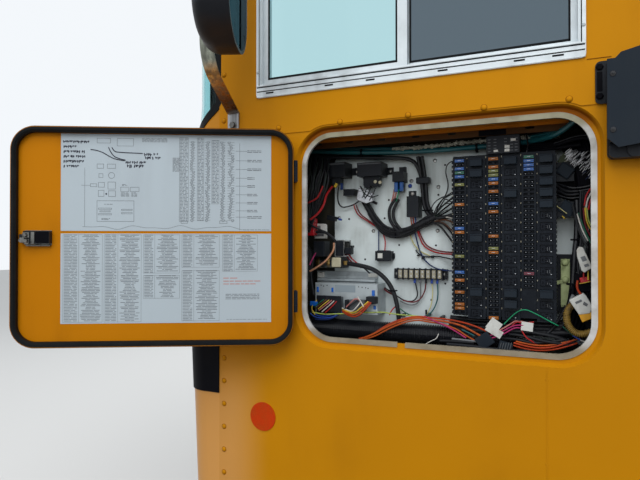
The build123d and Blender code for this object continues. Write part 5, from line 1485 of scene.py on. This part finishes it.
def buildPlateHardware():
    pan = [(0, 2.6), (3.0, 2.3), (4.6, 0.9), (5.0, 0), (5.0, -0.4), (0, -0.4)]
    bolts = [(-93, 188, 846), (-190, 188, 726), (-28, 188, 829), (-36, 188, 892), (-30, 188, 725),
             (-282, 188, 760)]
    addTurned("plateBolts", pan, bolts, "steel")
    hole = [(0, 0.35), (2.2, 0.35), (2.6, 0), (2.6, -0.3), (0, -0.3)]
    holes = [(-28, 188, 810), (-255, 188, 757), (-161, 188, 757), (-124, 188, 691), (-34, 188, 690),
             (-12, 188, 880), (-212, 188, 655), (-45, 188, 560), (-12, 188, 600), (-150, 188, 802)]
    addTurned("plateHoles", hole, holes, "wire_black", "black_plastic")
    addTurned("tabBolt", pan, [(-81, 150, 812)], "steel")
    sleeves = [((-127.6, 156, 818), (-118.4, 168, 842)), ((-114.6, 156, 819), (-105.6, 168, 842))]
    spades = addBoxes("spadeSleeves", sleeves, "blueSleeve", "blue_plastic", bevel=2.2)
    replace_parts(spades, "relay_plug")
    addBoxes("spadeShadow", [((-127, 168, 820), (-106, 180, 842))], "wire_black", "black_plastic")
    addTurned("blueDot", pan, [(-96, 184.5, 834)], "wire_blue", "blue_plastic")
    anchors = [((-51, 150, 524), (-45, 188, 530)), ((-50, 144, 531), (-46, 150, 541)),
               ((-18, 150, 520), (-12, 188, 526)), ((-113, 152, 520), (-107, 188, 526)),
               ((-67, 178, 657), (-61, 188, 663)), ((-44, 178, 660), (-38, 188, 666)),
               ((-78, 178, 664), (-73, 188, 668))]
    addBoxes("tieAnchors", anchors, "black_plastic", bevel=0.8)


def buildFlashers():
    top = [((-299, 134.2, 889), (-247, 136, 893)), ((-212, 134.2, 885), (-154, 136, 888))]
    addBoxes("flasherLips", top, "grey_plastic", "black_plastic", bevel=0.5)
    plugs = [((-285, 146, 842), (-262, 168, 860)), ((-201, 148, 830), (-186, 170, 840)),
             ((-179, 148, 832), (-166, 170, 842))]
    addBoxes("flasherPlugs", plugs, "black_plastic", bevel=1)
    addBoxes("yellowLug", [((-278, 145, 834), (-271, 151, 845))], "wire_yellow", "yellow_plastic", bevel=1,
             turns=[-25])
    addBoxes("blueLug", [((-262, 145, 828), (-255, 151, 844))], "wire_navy", "blue_plastic", bevel=1)
    pale = [((-222, 160, 812), (-192, 176, 830)), ((-202, 158, 806), (-180, 170, 818)),
            ((-196, 162, 796), (-182, 172, 806))]
    addBoxes("palePlug", pale, "silvery", "grey_plastic", bevel=2, turns=[-12, 8, 20])
    wrap = ((-222, 801), (-219, 822), (-200, 825), (-184, 813), (-180, 797), (-197, 792))
    addCutouts("paleWrap", [wrap], [(151, 162)], "silvery", "grey_plastic", bevel=2)
    rings = [(0, 1.6), (3.4, 1.6), (4.2, 1.0), (4.2, 0), (0, 0)]
    addTurned("eyelets", rings, [(-160, 149, 842), (-172, 149, 844)], "cream_plastic")
    holes = [(0, 0.3), (4.2, 0.3), (4.2, 0), (0, 0)]
    addTurned("earHoles", holes, [(-233, 183, 876), (-145, 183, 872.5)], "steel")


strip = {"middleX": -69.0, "pitch": 13.5, "ways": 8}


def buildTerminalStrip():
    pitch = strip["pitch"]
    xs = strip["middleX"] - (strip["ways"] - 1) / 2 * pitch + pitch * np.arange(strip["ways"])
    fins = [((x - 1.6, 169, 608), (x + 1.6, 177, 636)) for x in np.append(xs - pitch / 2, xs[-1] + pitch / 2)]
    addBoxes("stripFins", fins, "black_plastic", bevel=0.7)
    bars = [((x - 4.4, 169.5, 612.5), (x + 4.4, 176.2, 631.5)) for x in xs]
    addBoxes("stripBars", bars, "dullCream", "cream_plastic", bevel=0.8)
    head = [(0, 1.6), (2.0, 1.5), (3.2, 0.8), (3.4, 0), (0, 0)]
    addTurned("stripScrews", head, [(x, 169.4, z) for x in xs for z in (617, 627)], "steel", sides=10)
    addTurned("stripEndScrews", [(0, 2.4), (3.4, 2.0), (4.6, 0.6), (4.8, 0), (0, 0)],
              [(-126, 176, 622), (-12, 176, 622)], "steel")
    for name, finishName, spots in (("blueLugs", "wire_blue", (-82, -41, -28)),
                                    ("greyLugs", "wire_grey", (-69,)), ("blackLugs", "wire_black", (-55,))):
        addBoxes(name, [((x - 2.6, 172, 600), (x + 2.6, 177, 612)) for x in spots], finishName,
                 "blue_plastic", bevel=1)


def buildBuzzer():
    addBoxes("buzzerFeet", [((-182, 182, 657), (-134, 188, 671))], "black_plastic", bevel=1.5)
    addBoxes("buzzerCase", [((-175, 164, 651), (-142, 184, 678))], "black_plastic", bevel=3)
    addBoxes("buzzerPatch", [((-171, 163.6, 659), (-159, 164.2, 671))], "white_plastic")


def buildModule():
    addBoxes("moduleLid", [((-318, 121.0, 528), (-159, 122.6, 597))], "aluminium", bevel=1.0)
    addBoxes("moduleFlange", [((-335, 168, 600), (-180, 184, 606)), ((-335, 181, 606), (-178, 184.2, 614))],
             "aluminium", bevel=1.0)
    addBoxes("modulePatch", [((-266, 120.7, 577), (-213, 121.1, 594))], "dimLabel", "white_plastic")
    addBoxes("moduleCaps", [((-338, 176, 607), (-319, 183, 621)), ((-200, 176, 611), (-176, 183, 621))],
             "white_plastic", bevel=1.5)
    latches = [((-314, 119, 575), (-309, 122, 588)), ((-275, 119, 576), (-270, 122, 587)),
               ((-171, 118, 571), (-164, 122, 584)), ((-248, 118, 541), (-244, 122, 550)),
               ((-167, 118, 539), (-161, 122, 548))]
    addBoxes("blueLatches", latches, "blue_plastic", bevel=0.6)
    dots = [(x, 121.1, z) for x, z in ((-303, 592), (-296, 590), (-287, 592), (-205, 591), (-196, 590),
                                       (-187, 589), (-181, 588))]
    addTurned("modulePinholes", [(0, 0.3), (1.5, 0.3), (1.5, 0), (0, 0)], dots, "wire_black", "black_plastic",
              sides=8)
    plugs = [((-306, 99, 529), (-242, 104, 569)), ((-180, 101, 553), (-156, 121.4, 570)),
             ((-236, 108, 528), (-228, 121.4, 560))]
    addBoxes("modulePlugShells", plugs, "black_plastic", bevel=1.5)
    addBoxes("cornerBluePlug", [((-322, 96, 543), (-302, 106, 554))], "blue_plastic", bevel=1.2)


def buildLeftUnits():
    brass = [(0, 7), (8, 7), (11, 5), (11, 1), (13.6, 0), (13.6, -6), (11, -8), (11, -22), (13.6, -24),
             (13.6, -34), (0, -34)]
    addTurned("brassCoil", brass, [(-322, 152, 648)], "brassy", "steel", axis=(-1, 0, 0), sides=24)
    addBoxes("creamUnit", [((-283, 138, 636), (-258, 150, 660))], "cream_plastic", bevel=2)
    addBoxes("brassPort", [((-256, 150, 641), (-247, 160, 652))], "brassy", "steel", bevel=2)
    blocks = [((-322, 116, 662), (-292, 150, 700)), ((-272, 138.6, 664), (-251, 142, 701)),
              ((-252, 146, 668), (-233, 164, 684)), ((-236, 146, 684), (-231, 164, 690))]
    addBoxes("leftPlug", [((-300, 148, 752), (-276, 162, 764)), ((-278, 150, 755), (-270, 160, 761))],
             "black_plastic", bevel=1.5, turns=[-12, -12])
    addBoxes("leftPlugTip", [((-270, 151, 752), (-262, 159, 757))], "wire_blue", "blue_plastic", bevel=1,
             turns=[-12])
    addBoxes("leftBlocks", blocks, "black_plastic", bevel=2)
    addBoxes("redPlugBody", [((-341, 118.6, 714), (-321, 132, 758))], "red_plastic", bevel=2.5)


def buildCopperBar():
    rounded = [(246.5 + 9 * cos(t), 653 + 9 * sin(t)) for t in np.linspace(0, pi, 9)]
    addCutouts("corrodedBar", [rounded + [(237.5, 562), (255.5, 562)]], [(163, 166.4)], "copper", bevel=1.2)
    head = [(0, 6), (3.4, 5.6), (6.2, 4.2), (7.4, 1.8), (7.4, 0), (0, 0)]
    addTurned("barNuts", head, [(246, 163, 654), (246, 163, 617)], "copper", sides=20)
    addBoxes("barLug", [((228, 160, 608), (242, 163, 616))], "copper", bevel=1, turns=[20])


def buildSidePlugs():
    cases = [((232, 124, 832), (262, 148, 858)), ((236, 128, 752), (266, 150, 780))]
    addBoxes("sidePlugCases", cases, "dark_paint", "black_plastic", bevel=2.5, turns=[-38, -34])
    behind = ((226, 838), (300, 844), (300, 782), (268, 780), (240, 790), (226, 798))
    addCutouts("plugShadow", [behind], [(152, 158)], "deepBlack", "black_plastic", bevel=1)
    strands = [((228, 140 - 2 * n, 822 - 8 * n), (246, 130, 812 - 8 * n), (270, 124, 806 - 6 * n),
                (296, 120, 812 - 7 * n)) for n in range(4)]
    addLines("plugStrands", strands, 5, "glossBlack")
    under = [((8, 146 - 8 * n, 526 - 7 * n), (90, 144 - 8 * n, 522 - 6 * n), (180, 142 - 8 * n, 528 - 7 * n),
              (262, 134 - 6 * n, 530 - 6 * n)) for n in range(4)]
    addLines("underBoardLooms", under, 12, "wire_black")
    addBoxes("sidePlugLeads", [((229, 140, 836), (262, 152, 842)), ((229, 142, 762), (262, 152, 768))],
             "deepBlack", "black_plastic", bevel=1.5)
    addLines("sidePlugTie", [((231, 127, 772), (240, 125, 764), (250, 125, 756))], 1.8, "wire_cream")


def buildWhitePlugs():
    upper = ((267, 681), (272, 688), (279, 686), (294, 650), (293, 645), (281, 636), (276, 640), (268, 668))
    lower = ((253, 581), (279, 596), (284, 591), (295, 571), (291, 557), (271, 553))
    stored = ((-331, 707), (-331, 745), (-301, 744), (-297, 741), (-297, 707))
    plugs = addCutouts("whitePlugs", [upper, lower, stored], [(86, 108), (84, 106), (140, 147)],
                       "white_plastic", bevel=1.5)
    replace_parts(plugs, "white_plugs")
    slots = [((274, 667), (282, 670), (286, 661), (278, 658)),
             ((280, 652), (288, 655), (290, 650), (282, 647)),
             ((264, 578), (275, 584), (277, 580), (266, 574)),
             ((280, 580), (287, 575), (285, 570), (278, 574)),
             ((-326, 713), (-326, 722), (-304, 722), (-304, 713)),
             ((-326, 727), (-326, 739), (-313, 739), (-313, 727))]
    addCutouts("plugSlots", slots, [(85.4, 86.2), (85.4, 86.2), (83.4, 84.2), (83.4, 84.2), (139.2, 140.2),
                                    (139.2, 140.2)], "wire_grey", "grey_plastic")
    addCutouts("plugBase", [((270, 554), (294, 560), (294, 547), (277, 538))], [(85, 95)], "orangePlug",
               "yellow_plastic", bevel=1.2)
    addCutouts("darkPlugsRight", [((262, 632), (292, 636), (296, 598), (276, 596), (266, 606)),
                                  ((280, 556), (296, 556), (298, 526), (284, 520))],
               [(104, 128), (100, 118)], "deepBlack", "black_plastic", bevel=2)


def buildLowPlugs():
    addBoxes("redPlugLow", [((273, 98, 616), (291, 106, 627))], "red_plastic", bevel=1.5, turns=[10])
    addLines("redPlugTrim", [((272, 97, 614), (281, 96, 615), (292, 97, 619))], 1.8, "wire_yellow",
             "red_plastic")
    addBoxes("paleTags", [((97, 89.5, 509), (122, 90.2, 534)), ((92, 89.0, 502), (127, 89.7, 518)),
                          ((163, 91.5, 514), (186, 92.2, 532))], "white_plastic", turns=[-35, -30, -6])
    addBoxes("darkPlugs", [((74, 86, 474), (106, 98, 502)), ((118, 90, 471), (146, 99, 488))], "dark_paint",
             "grey_plastic", bevel=1.5, turns=[36, -14])
    ribs = [((x, 89, 473), (x + 2, 100, 487)) for x in np.arange(121, 144, 5)]
    addBoxes("darkPlugRibs", ribs, "grey_plastic", bevel=0.5, turns=[-14] * len(ribs))
    addRibbedTube("amberRing", ((268, 100, 578), (254, 96, 568), (248, 92, 550), (250, 90, 532),
                                (262, 88, 517), (280, 87, 513), (299, 92, 523)), 6.6, 1.0, 3.2, "amber",
                  "yellow_plastic", sides=20, perRib=5)


foam = {"height": 7.5, "depth": (139.0, 158.0), "thick": 0.002,
        "spots": ((-127, 919.5), (-60, 918), (9, 920), (53, 922), (117, 923), (178, 922), (214, 920),
                  (236, 921))}


def buildCeilingStrip():
    # crumpled foam and tape lying along the hoses: a strip whose rows and edges wander with noise
    columns, rows = 200, 9
    x = np.linspace(foam["spots"][0][0], foam["spots"][-1][0], columns)
    middle = np.interp(x, *np.array(foam["spots"]).T)
    share = np.linspace(-0.5, 0.5, rows)
    ragged = 1 + 0.5 * np.sin(x / 7.3) * np.sin(x / 3.1)
    crumple = random.standard_normal((columns, rows))
    z = middle[:, None] + share[None] * foam["height"] * ragged[:, None] + 0.7 * crumple
    trough = 10 * np.abs(share[None]) ** 1.5 * np.ones((columns, 1))
    depth = foam["depth"][0] + trough + 1.6 * random.standard_normal((columns, rows))
    points = np.stack([np.broadcast_to(x[:, None], z.shape), depth, z], axis=-1)
    quads = gridQuads(columns, rows, closed=False).tolist()
    piece = addPiece("paleFoam", place(points), quads, "foam", "cream_plastic")
    thick = piece.modifiers.new("thickness", "SOLIDIFY")
    thick.thickness = foam["thick"]
    backing = [((foam["spots"][0][0], 150, 916), (236, foam["depth"][1] + 12, 921))]
    addBoxes("foamBacking", backing, "box_paint", "black_plastic", bevel=1.5)
    # painted shade: a black patch on the front of the ceiling's lip
    tape = [((77.5, 98.4, 924.5), (133.6, 100.0, 936.5))]
    addBoxes("ceilingTape", tape, "deepBlack", "black_plastic", bevel=0.5)


buildPlateHardware()
buildFlashers()
buildTerminalStrip()
buildBuzzer()
buildModule()
buildLeftUnits()
buildCopperBar()
buildSidePlugs()
buildWhitePlugs()
buildLowPlugs()
buildCeilingStrip()
print("units done")

# Studio: pale floor, soft light, camera where the photograph was taken from

studio = {"floorSize": 14.0, "floorZ": -0.003, "floorSeen": (0.62, 0.62, 0.61),
          "floorLit": (0.10, 0.082, 0.062), "worldLight": 0.75, "background": 0.97, "sky": (0.93, 0.965, 1.0),
          "lamps": (("high", (0.6, -3.0, 4.0), (0.0, 0.0, 0.8), 3.4, 130),
                    ("front", (0.5, -3.8, 1.6), (0.0, 0.0, 0.7), 2.6, 26),
                    ("behind", (-1.2, 2.8, 2.6), (0.0, 0.0, 0.9), 2.5, 45))}


def seenDirectly(tree):
    # 1 where the camera, a reflection or a pane looks, 0 where light is gathered
    paths = tree.nodes.new("ShaderNodeLightPath")
    seen = mathNode(tree, "MAXIMUM", paths.outputs["Is Camera Ray"], paths.outputs["Is Glossy Ray"])
    return mathNode(tree, "MAXIMUM", seen, paths.outputs["Is Transmission Ray"])


def buildStudio():
    size, z = studio["floorSize"], studio["floorZ"]
    mesh = bpy.data.meshes.new("floor")
    mesh.from_pydata([(-size, -size, z), (size, -size, z), (size, size, z), (-size, size, z)], [],
                     [(0, 1, 2, 3)])
    floor = newObject("floor", mesh)
    material, tree, shader = shaderMaterial("floorPaint")
    tone = mixColours(tree, seenDirectly(tree), (*studio["floorLit"], 1), (*studio["floorSeen"], 1))
    tree.links.new(tone, shader.inputs["Base Color"])
    shader.inputs["Roughness"].default_value = 0.8
    mesh.materials.append(material)
    world = bpy.data.worlds.new("studio")
    bpy.context.scene.world = world
    world.use_nodes = True
    tree = world.node_tree
    strength = spreadTo(tree, seenDirectly(tree), studio["worldLight"], studio["background"])
    background = tree.nodes["Background"]
    background.inputs["Color"].default_value = (*studio["sky"], 1)
    tree.links.new(strength, background.inputs["Strength"])
    for name, spot, aim, size, power in studio["lamps"]:
        light = bpy.data.lights.new(name, "AREA")
        light.size = size
        light.energy = power
        lamp = newObject(name, light)
        lamp.location = spot
        lamp.rotation_euler = (Vector(aim) - Vector(spot)).to_track_quat("-Z", "Y").to_euler()
        lamp.visible_camera = False  # a lamp isn't seen through the panes or in the gloss
        lamp.visible_transmission = False
        lamp.visible_glossy = False


photoCamera = {"place": (0.2485, -1.147, 0.6912), "tilt": 0.512, "turn": 24.164, "focal": 548.77,
               "imageWidth": 640.0, "sensor": 36.0, "nearest": 0.05}


def buildCamera():
    camera = bpy.data.cameras.new("camera")
    camera.sensor_width = photoCamera["sensor"]
    camera.lens = photoCamera["focal"] / photoCamera["imageWidth"] * photoCamera["sensor"]
    camera.clip_start = photoCamera["nearest"]
    stand = newObject("camera", camera)
    stand.location = photoCamera["place"]
    stand.rotation_euler = (radians(90 + photoCamera["tilt"]), 0, radians(photoCamera["turn"]))
    bpy.context.scene.camera = stand


buildStudio()
buildCamera()
bpy.context.scene.view_settings.view_transform = "Standard"
bpy.context.view_layer.update()
